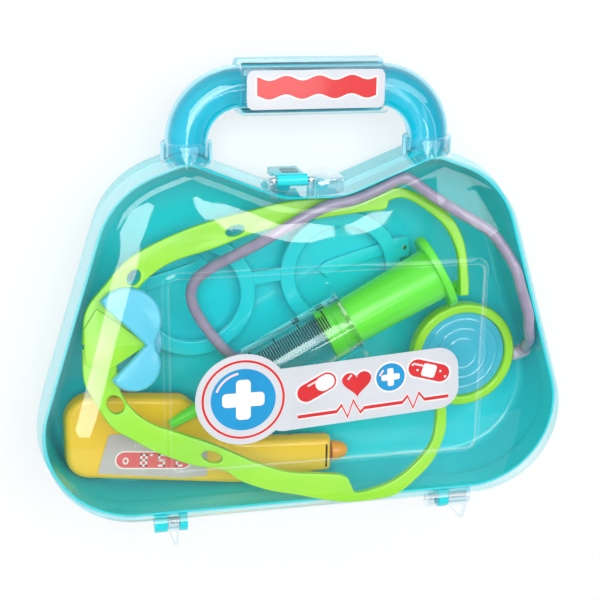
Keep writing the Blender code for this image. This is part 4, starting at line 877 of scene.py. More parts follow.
def make_latch():
    """Flap on its pin with a window of painted shade, lugs, the tab beside it and beads."""
    barrel = sleeve(LATCH_BORE, LATCH_RADIUS, 2 * FLAP_HALF, 0.4, 40,
                    latch_axis(LATCH_X - FLAP_HALF))
    leaf = slab((LATCH_X - FLAP_HALF, LATCH_Y - LEAF_HALF, LATCH_Z - FLAP_LENGTH),
                (LATCH_X + FLAP_HALF, LATCH_Y + LEAF_HALF, LATCH_Z), 0.5)
    make("latch_flap", *join(barrel, leaf), TEAL, "latch", "latch_flap")
    # The window is a dark teal plate on the flap: painted shade, not a part of its own.
    window = dense(rectangle(7.4, 9.0, 1.2))
    outer = frame_at((LATCH_X + 1.2, LATCH_Y + 1.8, LATCH_Z - 12.0), (math.pi / 2, "X"))
    make("latch_window", *flat_plate([window], 0, 0.4, 0.1, outer), WINDOW_SHADE, "latch")
    pin = rod(LATCH_PIN, LATCH_PIN_LENGTH, 24, latch_axis(LUGS_X[0]))
    make("latch_pin", *pin, STEEL, "lid", "latch_pin")
    parts = [slab((x, LUGS_Y, LATCH_Z - LUG_REACH),
                  (x + LUG_WIDTH, LATCH_Y + LEAF_HALF, LATCH_Z + LUG_REACH), 0.5) for x in LUGS_X]
    make("latch_lugs", *join(*parts), CLEAR_EDGE, "lid")
    tongue = dense(rectangle(2 * TAB_HALF, FLAP_LENGTH + LUG_REACH, 5.0))
    place = frame_at((TAB_X, TAB_Y, LATCH_Z + (LUG_REACH - FLAP_LENGTH) / 2), (math.pi / 2, "X"))
    arm = slab((TAB_X - TAB_HALF, LUGS_Y, LATCH_Z - LUG_REACH),
               (TAB_X + TAB_HALF, LATCH_Y, LATCH_Z + 1.3), 0.5)
    make("tab", *join(arm, flat_plate([tongue], 0, TAB_THICK, 0.6, place)), CLEAR_EDGE, "lid")
    beads = [slab((x - CATCH_HALF, CATCH_Y[0], CATCH_Z[0]),
                  (x + CATCH_HALF, CATCH_Y[1], CATCH_Z[1]), 0.5) for x in (LATCH_X, TAB_X)]
    make("beads", *join(*beads), TEAL, "case")


make_back()
make_lid()
make_handle(True)
make_handle(False)
make_hinges()
make_latch()


# Stethoscope

HEADSET_LENGTH, HEADSET_SPREAD, HEADSET_FROM = 179.0, 147.0, (-7.5, -81.5)
ARM_SHARES = {
    "headset_arm_upper": (
        (0.000, 0.560), (0.012, 0.660), (0.060, 0.735), (0.134, 0.822), (0.272, 0.896),
        (0.433, 0.944), (0.553, 0.970), (0.715, 0.972), (0.770, 0.993), (0.838, 0.990),
        (0.940, 0.917), (0.988, 0.822), (1.002, 0.700), (1.002, 0.645),
        (0.979, 0.645), (0.978, 0.700), (0.970, 0.790), (0.930, 0.880), (0.842, 0.957),
        (0.792, 0.958), (0.776, 0.930), (0.715, 0.924), (0.588, 0.907), (0.441, 0.874),
        (0.334, 0.832), (0.222, 0.793), (0.150, 0.730), (0.125, 0.660), (0.118, 0.560)),
    "headset_arm_lower": (
        (0.000, 0.550), (0.000, 0.455), (0.020, 0.395), (0.062, 0.305), (0.110, 0.262),
        (0.175, 0.212), (0.262, 0.164), (0.340, 0.140), (0.385, 0.100), (0.458, 0.062),
        (0.530, 0.040), (0.600, 0.016), (0.665, 0.000), (0.741, 0.000), (0.800, 0.012),
        (0.852, 0.055), (0.903, 0.116), (0.934, 0.195), (0.940, 0.250), (0.938, 0.310),
        (0.912, 0.310), (0.911, 0.250), (0.897, 0.172), (0.850, 0.107), (0.798, 0.062),
        (0.741, 0.038), (0.690, 0.030), (0.676, 0.058), (0.650, 0.092), (0.513, 0.116),
        (0.428, 0.155), (0.372, 0.190), (0.305, 0.232), (0.230, 0.270), (0.164, 0.305),
        (0.118, 0.352), (0.090, 0.412), (0.083, 0.478), (0.088, 0.550))}
ARM_ENDS = {"headset_arm_upper": 14, "headset_arm_lower": 20}
ARM_HOLES = {                # centre, length and width as shares, and turn
    "headset_arm_upper": (((0.133, 0.757), 0.042, 0.030, 60), ((0.389, 0.885), 0.050, 0.026, 15)),
    "headset_arm_lower": (((0.075, 0.372), 0.050, 0.040, -60), ((0.312, 0.184), 0.055, 0.028, -22))}
UPPER_LOBE, LOWER_LOBE = 14.8, 11.8
YOKE_MOUTH, YOKE_THICK, YOKE_OVERHANG = 2.2, 6.0, 7.5
RING_WIDTH, RING_DEPTH, BODY_DEPTH = 4.5, 7.5, 20.2
FILM_TOP, FILM_LOW = -2.35, -3.2
RIPPLES_AT, RIPPLE_RISE, RIPPLE_WIDTH = (7.5, 12.5, 17.5), 0.35, 0.55


def headset_point(share):
    """A place in the headset's plane from its shares."""
    return np.array((share[0] * HEADSET_LENGTH + HEADSET_FROM[0],
                     share[1] * HEADSET_SPREAD + HEADSET_FROM[1]))


def oval(centre, length, width, turn=0.0, count=64):
    """Ellipse with its long way turned from X."""
    angle = np.linspace(0, 2 * math.pi, count, endpoint=False)
    flat = np.stack((length / 2 * np.cos(angle), width / 2 * np.sin(angle)), 1)
    return flat @ flat_spin(turn).T + centre


def circle(centre, radius, count=64):
    """Round outline about a centre."""
    return oval(centre, 2 * radius, 2 * radius, 0, count)


def arm_outline(name):
    """Both sides of an arm, each a smooth curve through its shares."""
    points = [headset_point(share) for share in ARM_SHARES[name]]
    turn = ARM_ENDS[name]
    shift = GAP / 2 if name.endswith("upper") else -GAP / 2
    return np.concatenate((catmull(points[:turn], 8), catmull(points[turn:], 8))) + (0, shift)


def make_arms():
    """Flat lime arms with their openings and thin raised rims."""
    for name in ARM_SHARES:
        outlines = [arm_outline(name)]
        outlines += [oval(headset_point(centre), length * HEADSET_LENGTH, width * HEADSET_LENGTH,
                          math.radians(turn)) for centre, length, width, turn in ARM_HOLES[name]]
        make(name, *flat_plate(outlines, -ARM_THICK / 2, ARM_THICK / 2, 0.8, HEADSET, 4), LIME,
             "case", name, 35)


def half_circle(start, end, steps=40):
    """Half circle from one point to the other, turning to the left."""
    middle = (start + end) / 2
    arm = start - middle
    turn = np.linspace(0, math.pi, steps)[:, None]
    return middle + np.cos(turn) * arm + np.sin(turn) * np.array((-arm[1], arm[0]))


def lobe_pair():
    """Outline of the yoke's two half-round lobes about their V mouth."""
    neck = np.array((UPPER_LOBE + LOWER_LOBE - YOKE_MOUTH, GAP))
    far = [neck + 2 * radius * flat_spin(math.radians(turn))[:, 0]
           for radius, turn in ((UPPER_LOBE, 143), (LOWER_LOBE, 213))]
    shift = np.array((0, YOKE_MOUTH))
    return dense(np.concatenate((half_circle(neck + shift, far[0] + shift),
                                 [neck - (2 * YOKE_MOUTH, 0)],
                                 half_circle(far[1] - shift, neck - shift)))), neck


def make_yoke():
    """Light blue yoke in front and behind, and the lime wedge at its mouth."""
    outline, neck = lobe_pair()
    top = ARM_THICK / 2 + GAP
    make("yoke_front", *flat_plate([outline], top, top + YOKE_THICK, 1.6, HEADSET, 5), SKY,
         "case", "yoke_front", 35)
    disc = oval((neck[0] / 2, 0), neck[0] + YOKE_OVERHANG, 2 * UPPER_LOBE, 0, 96)
    end = np.linalg.inv(HEADSET) @ np.array((*HOSE_POINTS[-1], 1))
    aim = (SOCKET_AT - end[:3]) / np.linalg.norm(SOCKET_AT - end[:3])
    socket = rod(SOCKET_RADIUS, SOCKET_LENGTH, 40,
                 HEADSET @ along(aim, SOCKET_AT - aim * SOCKET_LENGTH), 0.5)
    make("yoke_back", *join(flat_plate([disc], -top - YOKE_PLATE, -top, 0.8, HEADSET), socket),
         SKY, "case", "yoke_back")
    beak = dense(rounded([(-6.6, -7.0, 1.0), (0.6, -12.6, 1.0),
                          (neck[0] - 1.4 * YOKE_MOUTH, 0, 0.5), (-0.6, 17.2, 1.0),
                          (-6.6, 8.0, 1.0)]))
    make("yoke_wedge", *flat_plate([beak], ARM_THICK / 2 - 0.6, top + 1.6, 0.5, HEADSET), LIME,
         "case", "yoke_wedge")


def make_ear_tips():
    """Soft mushroom tips under the free ends of the arms."""
    wide, high = 3.6, 8.0
    profile = soften([(0, 0), (wide * 0.6, 0), (wide * 0.6, -high * 0.35), (wide, -high * 0.55),
                      (wide * 0.92, -high * 0.9), (wide * 0.4, -high), (0, -high)], 1.2)
    for name, arm, side in (("ear_tip_upper", "headset_arm_upper", 1),
                            ("ear_tip_lower", "headset_arm_lower", -1)):
        turn = ARM_ENDS[arm]
        end = (headset_point(ARM_SHARES[arm][turn - 1]) + headset_point(ARM_SHARES[arm][turn])) / 2
        place = HEADSET @ frame_at((end[0], end[1] + side * wide * 0.8, -ARM_THICK / 2 - GAP))
        make(name, *turned(profile, 48, place), GREEN, "case", name)


DIAPHRAGM = moulded("blue_diaphragm", srgb(60, 190, 215), srgb(30, 168, 200), 0.12, 0.8, 20)


def make_chest_piece():
    """Body, lime ring, ringed diaphragm and the glossy elbow, its lighter lavender a painted sheen.
    """
    place = frame_at(CHEST)
    inner = CHEST_RADIUS - RING_WIDTH
    body = inner - GAP
    seat = FILM_LOW - GAP
    make("chest_body", *turned(soften([
        (0, seat - 2.0), (body - 2.0, seat - 2.0), (body - 2.0, seat), (body, seat),
        (body, -RING_DEPTH), (body * 0.72, -BODY_DEPTH), (0, -BODY_DEPTH)], 0.8), 96, place),
         SKY, "case", "chest_body")
    make("chest_ring", *turned(soften([
        (inner, -3.0), (inner, 0), (CHEST_RADIUS, 0), (CHEST_RADIUS, -RING_DEPTH),
        (inner, -RING_DEPTH), (inner, -3.0)], 1.5), 128, place), LIME, "case", "chest_ring")
    reach = np.linspace(0, body, 90)
    ripple = sum(RIPPLE_RISE * np.exp(-((reach - at) / RIPPLE_WIDTH) ** 2) for at in RIPPLES_AT)
    top = np.stack((reach, FILM_TOP + ripple), 1)
    film = np.concatenate((top, [(body, FILM_LOW), (0, FILM_LOW)]))
    make("chest_diaphragm", *turned(film, 128, place), DIAPHRAGM, "case", "chest_diaphragm")
    # The elbow's lighter lavender is painted sheen.
    make("chest_stem", *tube(stem_path()[0], STEM_RADIUS, 36), SHEEN_STEM, "case", "chest_stem")


make_arms()
make_yoke()
make_ear_tips()
make_chest_piece()


# Syringe

SYRINGE = frame_at(TIP, (SYRINGE_TURN, "Z"), (math.pi / 2, "Y"))
NOZZLE, BARREL, BARREL_RADIUS, BARREL_WALL = 44.2, 52.7, 14.6, 1.2
MOUTH_RADIUS, COLLAR, NOZZLE_WIDE, NOZZLE_END = 2.4, 8.0, 5.0, 2.2
PISTON_IN, PISTON_LENGTH, PLUNGER_OUT, ROD_NARROW, ROD_WIDE = 13.8, 6, 48.5, 11.3, 12.7
INK = moulded("scale_ink", srgb(16, 46, 40), srgb(10, 36, 34), 0.5, 0.0, 8)
SCALE_FROM, SCALE_PITCH, SCALE_MARKS, MARK_WIDTH = NOZZLE + 4.0, 1.27, 31, 0.62
SCALE_START, SCALE_LONG, SCALE_SHORT = 150, 42, 30          # degrees round the barrel
INK_LOW, INK_HIGH = 0.02, 0.08
FLANGE_WIDTH, FLANGE_LENGTH, THUMB_LENGTH = 29.0, 44.7, 37.4
SEGMENTS = {                 # lit bars: a top, b and c right, d bottom, e and f left, g middle
    "0": "abcdef", "3": "abgcd", "4": "fgbc", "5": "afgcd", "8": "abcdefg"}
DIGIT_WIDTH = 0.52           # share of a digit's height


def digit_bars(text, height, bold, gap=0.35):
    """Rectangles (low x, low y, high x, high y) of seven-bar digits."""
    wide, half = height * DIGIT_WIDTH, height / 2
    spots = {"a": (0, height - bold, wide, height), "b": (wide - bold, half, wide, height),
             "c": (wide - bold, 0, wide, half), "d": (0, 0, wide, bold), "e": (0, 0, bold, half),
             "f": (0, half, bold, height), "g": (0, half - bold / 2, wide, half + bold / 2)}
    bars = []
    for place, sign in enumerate(text):
        x = place * (wide + gap * height)
        for low_x, low_y, high_x, high_y in (spots[bar] for bar in SEGMENTS[sign]):
            bars.append((x + low_x, low_y, x + high_x, high_y))
    return bars


def on_barrel(low, high, start, end, steps=6):
    """A thin printed patch on the barrel, between two heights and two angles."""
    angle = np.linspace(start, end, steps)
    inner, outer = (np.stack([np.stack((reach * np.cos(angle), reach * np.sin(angle),
                                        np.full(steps, z)), 1) for z in (low, high)])
                    for reach in (BARREL_RADIUS + INK_LOW, BARREL_RADIUS + INK_HIGH))
    points, faces = skin(outer, inner)
    return lay_out(SYRINGE, points), faces


def make_syringe():
    """Clear barrel, printed scale, green nozzle and faceted plunger."""
    front, back = NOZZLE, NOZZLE + BARREL
    bore = BARREL_RADIUS - BARREL_WALL
    profile = [(MOUTH_RADIUS, front + BARREL_WALL), (MOUTH_RADIUS, front),
               (BARREL_RADIUS - 1.4, front), (BARREL_RADIUS, front + 1.4), (BARREL_RADIUS, back),
               (bore, back), (bore, front + BARREL_WALL), (MOUTH_RADIUS, front + BARREL_WALL)]
    wall = turned(soften(profile, 0.5), 96, SYRINGE)
    rim = flat_plate([oval((0, 0), FLANGE_WIDTH, FLANGE_LENGTH, 0, 96),
                      circle((0, 0), BARREL_RADIUS - 0.3, 96)], back - 2.7, back - 0.3, 0.5,
                     SYRINGE, 4)
    make("syringe_barrel", *join(wall, rim), BARREL_CLEAR, "case", "syringe_barrel")
    start = math.radians(SCALE_START)
    parts = []
    for mark in range(SCALE_MARKS):
        at = SCALE_FROM + mark * SCALE_PITCH
        reach = SCALE_SHORT if mark % 10 else SCALE_LONG
        parts.append(on_barrel(at, at + MARK_WIDTH, start, start - math.radians(reach)))
    turn = start - math.radians(SCALE_LONG + 4)
    for mark, text in ((30, "05"), (20, "04")):
        at = SCALE_FROM + mark * SCALE_PITCH - 1.0
        for low_x, low_y, high_x, high_y in digit_bars(text, 3.4, 0.6):
            parts.append(on_barrel(at + low_y, at + high_y, turn - low_x / BARREL_RADIUS,
                                   turn - high_x / BARREL_RADIUS, 3))
    make("syringe_scale", *join(*parts), INK, "case")
    make("syringe_nozzle", *turned(soften([
        (0, front - GAP), (COLLAR, front - GAP), (COLLAR, front - 1.5),
        (NOZZLE_WIDE, front - 1.5), (NOZZLE_END, 0), (0, 0)], 0.7), 64, SYRINGE), GREEN, "case",
         "syringe_nozzle")
    face, end = back - PISTON_IN, back + PLUNGER_OUT
    piston = bore - GAP
    step = face + PISTON_LENGTH
    cone = turned(soften([(0, end - 2), (ROD_WIDE, end - 2),
                          (ROD_NARROW, step + piston - ROD_NARROW), (piston, step),
                          (piston, face), (0, face)], 0.6), 96, SYRINGE)
    thumb = flat_plate([oval((0, 0), FLANGE_WIDTH, THUMB_LENGTH, 0, 96)], end - 4, end, 1.2,
                       SYRINGE, 4)
    make("syringe_plunger", *join(cone, thumb), GREEN, "plunger", "syringe_plunger")


make_syringe()


# Thermometer

THERMO_X, THERMO_Y, THERMO_Z = -112.6, 4.5, 8.7
THERMO_LENGTH, THERMO_HEIGHT, THERMO_THICK = 128.6, 52.4, 11.2
THERMO_SHARES = (            # corner x and y, and radius
    (0.004, 0.200, 0.09), (0.004, 1.000, 0.10), (0.440, 0.905, 0.05), (0.640, 0.440, 0.06),
    (1.000, 0.400, 0.02), (1.000, 0.060, 0.02), (0.640, 0.000, 0.08))
FILM_SHARES = (
    (0.118, 0.240, 0.01), (0.164, 0.610, 0.01), (0.400, 0.590, 0.01), (0.520, 0.400, 0.02),
    (0.520, 0.130, 0.01), (0.430, 0.130, 0.01))
SCREEN_AT, SCREEN_SIZE, SCREEN_TURN = (-71.0, 21.8), (36.5, 9.3), math.radians(-5.2)
DIGIT_HEIGHT, DIGIT_START = 6.4, -13.8
RING_AT = (13.2, 0.4)
FILM_THICK, PRINT_THICK = 0.15, 0.05
PROBE_RADIUS, PROBE_LENGTH, PROBE_SHARE = 5.0, 8.5, 0.23
FILM = moulded("thermometer_film", srgb(200, 192, 186), srgb(190, 180, 172), 0.35, 0.2, 15)
WHITE = moulded("white_print", srgb(250, 244, 240), srgb(240, 232, 228), 0.35, 0.2, 12)
RED = moulded("red_print", srgb(214, 40, 46), srgb(202, 34, 40), 0.3, 0.3, 12)
PALE_GREY = moulded("tick_print", srgb(228, 220, 214), srgb(216, 208, 202), 0.35, 0.2, 12)
SCREEN = moulded("display_red", srgb(238, 100, 98), srgb(226, 84, 80), 0.3, 0.4, 12)


def thermo_outline(shares):
    """Rounded outline from corner shares, counter-clockwise."""
    return dense(rounded([(THERMO_X + x * THERMO_LENGTH, THERMO_Y + y * THERMO_HEIGHT,
                           radius * THERMO_LENGTH) for x, y, radius in reversed(shares)]))


def cushion(outline, floor, rim, edge=3.0, draft=0.6):
    """A closed half shell: flat face, quarter-round edge, drafted side."""
    side = 1 if floor < rim else -1
    rings = []
    for turn in np.linspace(0, math.pi / 2, 8):
        rings.append(level(inset(outline, draft + edge * (1 - math.sin(turn))),
                           floor + side * edge * (1 - math.cos(turn))))
    rings.append(level(outline, rim))
    return loft(rings)


def stamped(outlines, height, matrix):
    """A flat print whose underside lies at a height."""
    return flat_plate(outlines, height, height + PRINT_THICK, 0, matrix)


def make_thermometer():
    """Two half shells, the tip, and the printed film with its display. The back shell's orange is
    painted shade of the yellow body's side.
    """
    outline = thermo_outline(THERMO_SHARES)
    middle = THERMO_Z + THERMO_THICK / 2
    # The back shell's orange is painted shade: the yellow body's side as it looks in shadow.
    make("thermometer_back", *cushion(outline, THERMO_Z, middle - GAP / 2), ORANGE_TIP_AND_SHADE, "case",
         "thermometer_back")
    make("thermometer_front", *cushion(outline, THERMO_Z + THERMO_THICK, middle + GAP / 2),
         YELLOW, "case", "thermometer_front")
    tip = along((1, 0, 0), (THERMO_X + THERMO_LENGTH + GAP,
                            THERMO_Y + PROBE_SHARE * THERMO_HEIGHT, middle))
    turn = np.linspace(0, math.pi / 2, 14)
    profile = np.stack((PROBE_RADIUS * np.cos(turn) ** 0.8, PROBE_LENGTH * np.sin(turn)), 1)[::-1]
    make("thermometer_tip", *turned(np.concatenate((profile, [(0, 0)])), 64, tip), ORANGE_TIP_AND_SHADE,
         "case", "thermometer_tip")
    top = THERMO_Z + THERMO_THICK + GAP
    film = thermo_outline(FILM_SHARES)
    make("thermometer_label", *flat_plate([film], top, top + FILM_THICK, 0), FILM, "case",
         "thermometer_label")
    spot = frame_at((*SCREEN_AT, top), (SCREEN_TURN, "Z"))
    screen_low = FILM_THICK + PRINT_THICK
    for name, margin, low, finish in (("display_rim", 0.0, FILM_THICK, WHITE),
                                      ("display", 0.7, screen_low, SCREEN)):
        width, height = SCREEN_SIZE[0] - 2 * margin, SCREEN_SIZE[1] - 2 * margin
        bar = rectangle(width, height, height / 2 - 0.05)
        make(name, *stamped([bar], low, spot), finish, "case")
    turned_over = frame_at((*SCREEN_AT, top), (SCREEN_TURN + math.pi, "Z"))
    bars = [(low_x + DIGIT_START, low_y - DIGIT_HEIGHT / 2, high_x + DIGIT_START,
             high_y - DIGIT_HEIGHT / 2)
            for low_x, low_y, high_x, high_y in digit_bars("358", DIGIT_HEIGHT, 0.95, 0.8)]
    bars.append((0.7, -DIGIT_HEIGHT / 2, 1.9, -DIGIT_HEIGHT / 2 + 1.1))
    shapes = [[rectangle(high_x - low_x, high_y - low_y, 0.2, (low_x + high_x) / 2,
                         (low_y + high_y) / 2)] for low_x, low_y, high_x, high_y in bars]
    shapes.append([oval(RING_AT, 2.8, 3.6), oval(RING_AT, 1.5, 2.2)])
    prints = [stamped(shape, screen_low + PRINT_THICK, turned_over) for shape in shapes]
    make("display_digits", *join(*prints), WHITE, "case")
    marks = [stamped([rectangle(0.45, 1.5 if mark % 5 else 2.4, 0.1, 9.0 - 1.7 * mark, -7.2)],
                     FILM_THICK, turned_over) for mark in range(14)]
    make("display_marks", *join(*marks), PALE_GREY, "case")


make_thermometer()


# Glasses

GLASSES_TURN = math.radians(6.5)
LENS_PITCH, LENS_OUTER, LENS_RIM = 71.2, 29.5, 7.2
GLASSES_Z, TEMPLE_THICK, FRAME_THICK, TEMPLE_HALF = 2.3, 2.6, 3.6, 3.1
GLASSES_AT, END_REACH, BRIDGE_HEIGHT, LUG_HEIGHT = (-49.7, 97.9, 0), 9.5, 6.0, 10.0
TEMPLE_PIN, TEMPLE_PIN_LENGTH = 1.2, 6.5


def strip(spine, half):
    """Outline of a band of constant half width about a line."""
    spine = np.asarray(spine, float)
    way = np.gradient(spine, axis=0)
    way /= np.linalg.norm(way, axis=1)[:, None]
    side = np.stack((-way[:, 1], way[:, 0]), 1) * half
    return np.concatenate((spine + side, (spine - side)[::-1]))


def make_glasses():
    """Two round rims with a bridge, end pieces and folded temples."""
    place = frame_at(GLASSES_AT, (GLASSES_TURN, "Z"))
    low = GLASSES_Z + TEMPLE_THICK + GAP
    parts = [flat_plate([circle((x, 0), LENS_OUTER, 128),
                         circle((x, 0), LENS_OUTER - LENS_RIM, 128)], low, low + FRAME_THICK, 0.9,
                        place, 5) for x in (0, LENS_PITCH)]
    reach = LENS_OUTER - LENS_RIM / 2
    bridge = rectangle(LENS_PITCH - 2 * reach, BRIDGE_HEIGHT, 0.3, LENS_PITCH / 2, LENS_RIM / 2)
    parts.append(flat_plate([bridge], low + 0.45, low + 3.15, 0.25, place))
    for side, origin in ((-1, 0), (1, LENS_PITCH)):
        ends = sorted((origin + side * (LENS_OUTER + END_REACH / 2), origin + side * reach))
        lug = rectangle(ends[1] - ends[0], LUG_HEIGHT, 1.2, sum(ends) / 2, LENS_RIM)
        parts.append(flat_plate([lug], low + 0.02, low + FRAME_THICK - 0.02, 0.5, place))
    make("glasses_frame", *join(*parts), TEAL, "case", "glasses_frame")
    for name, side, origin in (("temple_left", -1, 0), ("temple_right", 1, LENS_PITCH)):
        pin_x = origin + side * (LENS_OUTER + END_REACH / 4)
        drop = 8.0 * side
        spine = [(pin_x + side * TEMPLE_HALF, LENS_RIM), (pin_x - side * 2 * TEMPLE_HALF, LENS_RIM),
                 (pin_x - side * 35.0, LENS_RIM - drop * 0.6),
                 (pin_x - side * 40.0, LENS_RIM - drop)]
        temple = strip(catmull(spine, 6), TEMPLE_HALF)
        make(name, *flat_plate([temple], GLASSES_Z, GLASSES_Z + TEMPLE_THICK, 0.5, place), TEAL,
             "case", name)
        pin = rod(TEMPLE_PIN, TEMPLE_PIN_LENGTH, 24,
                  place @ frame_at((pin_x, LENS_RIM, GLASSES_Z)))
        pin_name = name.replace("temple", "temple_pin")
        make(pin_name, *pin, STEEL, "case", pin_name)


make_glasses()


# Labels

LABEL_Z = LID_TOP + PANEL["rise"] + GAP
LAYER, LABEL_THICK = 0.05, 0.04
MOTIF_EDGE = 0.8
CAPSULE_AT, CAPSULE_TURN = np.array((-20.5, 4.0)), 24
DISC_AT = (13.8, 4.0)
PLASTER_AT, PLASTER_TURN = np.array((32.0, 4.6)), -20
BADGE, BADGE_RADIUS = np.array((-34.0, 63.0)), 21.5
BANNER, BANNER_TURN = np.array((20.0, 64.0)), math.radians(4)
SILVER = moulded("silver_film", srgb(208, 212, 218), srgb(194, 200, 206), 0.32, 0.2, 18)
BLUE = moulded("blue_print", srgb(12, 150, 208), srgb(8, 138, 196), 0.3, 0.3, 12)
PALE = moulded("pale_print", srgb(250, 236, 236), srgb(242, 226, 226), 0.35, 0.2, 12)
GLINT = moulded("glint_print", srgb(255, 214, 214), srgb(252, 206, 206), 0.3, 0.3, 12)


def printed(name, layer, outlines, finish, base=LABEL_Z, replaced=None):
    """A flat print on a layer of a label of the lid, one plate for each group."""
    low = base + LAYER * layer
    parts = [flat_plate(group, low, low + LABEL_THICK, 0) for group in outlines]
    make(name, *join(*parts), finish, "lid", replaced)


def banner_at(outline):
    """An outline drawn about the banner's centre, turned with it."""
    return np.asarray(outline) @ flat_spin(BANNER_TURN).T + BANNER


def heart(size, x, y):
    """Heart curve: 16 sin cubed across, a sum of four cosines up."""
    t = np.linspace(0, 2 * math.pi, 90, endpoint=False)
    across = 16 * np.sin(t) ** 3
    up = 13 * np.cos(t) - 5 * np.cos(2 * t) - 2 * np.cos(3 * t) - np.cos(4 * t)
    return np.stack((-across, up), 1) * size / 32 + (x, y)


def plus(size, wide, x, y):
    """A plus sign with rounded ends, as one outline."""
    half, bar, round_end = size / 2, wide / 2, wide * 0.3
    corners = [(bar, -half, round_end), (bar, -bar, 0), (half, -bar, round_end),
               (half, bar, round_end), (bar, bar, 0), (bar, half, round_end),
               (-bar, half, round_end), (-bar, bar, 0), (-half, bar, round_end),
               (-half, -bar, round_end), (-bar, -bar, 0), (-bar, -half, round_end)]
    return rounded([(cx + x, cy + y, r) for cx, cy, r in corners])


def grown(outline, margin):
    """An outline pushed outwards by a margin, with points close together."""
    return inset(dense(outline, 0.3), -margin)


def on_banner(name, layer, outlines, finish):
    """Separate prints on the banner, drawn about its centre."""
    printed(name, layer, [[banner_at(outline)] for outline in outlines], finish)


def motif(name, outline, finish):
    """A coloured print on the banner with a pale edge round it."""
    printed(name + "_edge", 1, [[grown(banner_at(outline), MOTIF_EDGE)]], PALE)
    on_banner(name, 2, [outline], finish)


def bar_at(spot, length, height, turn, radius=None):
    """Rounded bar about a place on the banner, turned in degrees."""
    return rectangle(length, height, height / 2 if radius is None else radius, *spot,
                     math.radians(turn))


def make_badge():
    """Round badge: red ring, blue field with a soft edge, pale plus."""
    printed("label_film", 0, [[circle(BADGE, BADGE_RADIUS, 128)]], SILVER, replaced="lid_label")
    disc = {radius: circle(BADGE, radius, 128) for radius in (18.9, 18.7, 17.6, 17.4, 14.6)}
    printed("badge_edge", 1, [[disc[18.9], disc[17.4]]], PALE)
    printed("badge_ring", 2, [[disc[18.7], disc[17.6]]], RED)
    printed("badge_field", 1, [[disc[14.6]]], BLUE)
    printed("badge_plus", 2, [[plus(19, 6.6, *BADGE)]], PALE)
    turn = np.radians(np.linspace(100, 160, 24))
    arc = np.concatenate([BADGE + r * np.stack((np.cos(way), np.sin(way)), 1)
                          for r, way in ((13.2, turn), (12.2, turn[::-1]))])
    printed("badge_glint", 2, [[arc]], GLINT)


def make_banner():
    """Banner with a capsule, a heart, a plus, a plaster and a pulse line."""
    on_banner("label_banner", 0.2, [dense(rectangle(92, 30, 10))], SILVER)
    motif("capsule", bar_at(CAPSULE_AT, 19.0, 8.6, CAPSULE_TURN), RED)
    half_at = CAPSULE_AT + 4.2 * flat_spin(math.radians(CAPSULE_TURN))[:, 0]
    on_banner("capsule_half", 3, [bar_at(half_at, 9.0, 7.0, CAPSULE_TURN)], PALE)
    motif("heart", heart(13.5, -2.0, 3.6), RED)
    motif("disc", circle(DISC_AT, 6.7), BLUE)
    on_banner("disc_plus", 3, [plus(8.6, 2.9, *DISC_AT)], PALE)
    motif("plaster", bar_at(PLASTER_AT, 20.0, 8.4, PLASTER_TURN), RED)
    on_banner("plaster_pad", 3, [bar_at(PLASTER_AT, 6.6, 6.2, PLASTER_TURN, 1.2)], PALE)
    on_banner("plaster_holes", 3, [circle(PLASTER_AT + away, 0.55, 16) for away in
                                   ((-7.6, 3.9), (-5.4, 1.0), (7.6, -3.9), (5.4, -1.0))], PALE)
    line = np.array([(-30, -9.2), (-12, -9.2), (-9.5, -6.4), (-7, -12.6), (-4, -4.8), (-1, -11.2),
                     (1, -9.2), (19, -9.2), (21.5, -6.4), (24, -12.6), (27, -5.6), (29.5, -9.2),
                     (41, -9.2)])
    edge, pulse = (np.concatenate((line + (0, half), (line - (0, half))[::-1]))
                   for half in (1.5, 0.8))
    on_banner("pulse_edge", 1, [edge[::-1]], PALE)
    on_banner("pulse", 2, [dense(pulse, 0.5)[::-1]], RED)
    on_banner("banner_glints", 4, [bar_at(spot, length, 0.9, turn) for spot, length, turn in (
        ((-22.5, 6.0), 5.0, CAPSULE_TURN), ((-5.2, 6.6), 3.0, 50), ((9.6, 6.6), 3.4, 55),
        ((27.0, 8.2), 5.0, PLASTER_TURN))], GLINT)


def make_grip_label():
    """Silver strip with a red wavy bar: upper and lower edge are cosines
    whose crests lie half a wave apart."""
    base = PARTING_Z + GRIP_THICK / 2 + GAP
    field = dense(rectangle(60.0, 16.5, 3.0, 0, HANDLE_Y))
    printed("grip_film", 0, [[field]], SILVER, base, "grip_label")
    wave = 14.3
    x = np.linspace(-25.8, 26.2, 160)
    upper = HANDLE_Y + 4.9 + 1.0 * np.cos(2 * math.pi * (x - 1.0) / wave)
    lower = HANDLE_Y - 2.9 - 1.0 * np.cos(2 * math.pi * (x - 8.0) / wave)
    bar = np.concatenate((np.stack((x, lower), 1), np.stack((x, upper), 1)[::-1]))
    printed("grip_edge", 1, [[grown(bar, 0.7)]], PALE, base)
    printed("grip_wave", 2, [[bar]], RED, base)


make_badge()
make_banner()
make_grip_label()


# Room: floor, lamps and backdrop

FLOOR_HALF, FLOOR_GAP = 3, 0.0002       # metres
FLOOR_GLOW = 0.62            # share of the floor that shows as plain white
CARD_Z = 900.0
CARDS = {                    # strength and outline of what the lid mirrors
    "window_left": (8.0, [(-205, 150), (-221, -32), (-225, -119), (-237, -193), (-256, -268),
                          (-236, -300), (-197, -300), (-177, -232), (-169, -175), (-157, -115),
                          (-126, 6), (-86, 122), (-119, 150)]),
    "window_middle": (9.0, [(40, 112), (170, 130), (216, 107), (216, 66), (190, 50), (103, 50)]),
    "window_right": (4.0, [(336, 117), (436, 133), (498, 132), (559, 53), (612, -26), (554, -40),
                           (504, -24), (433, 48)]),
    "wall_low": (1.0, [(-290, -345), (620, -345), (620, -740), (-290, -700)])}


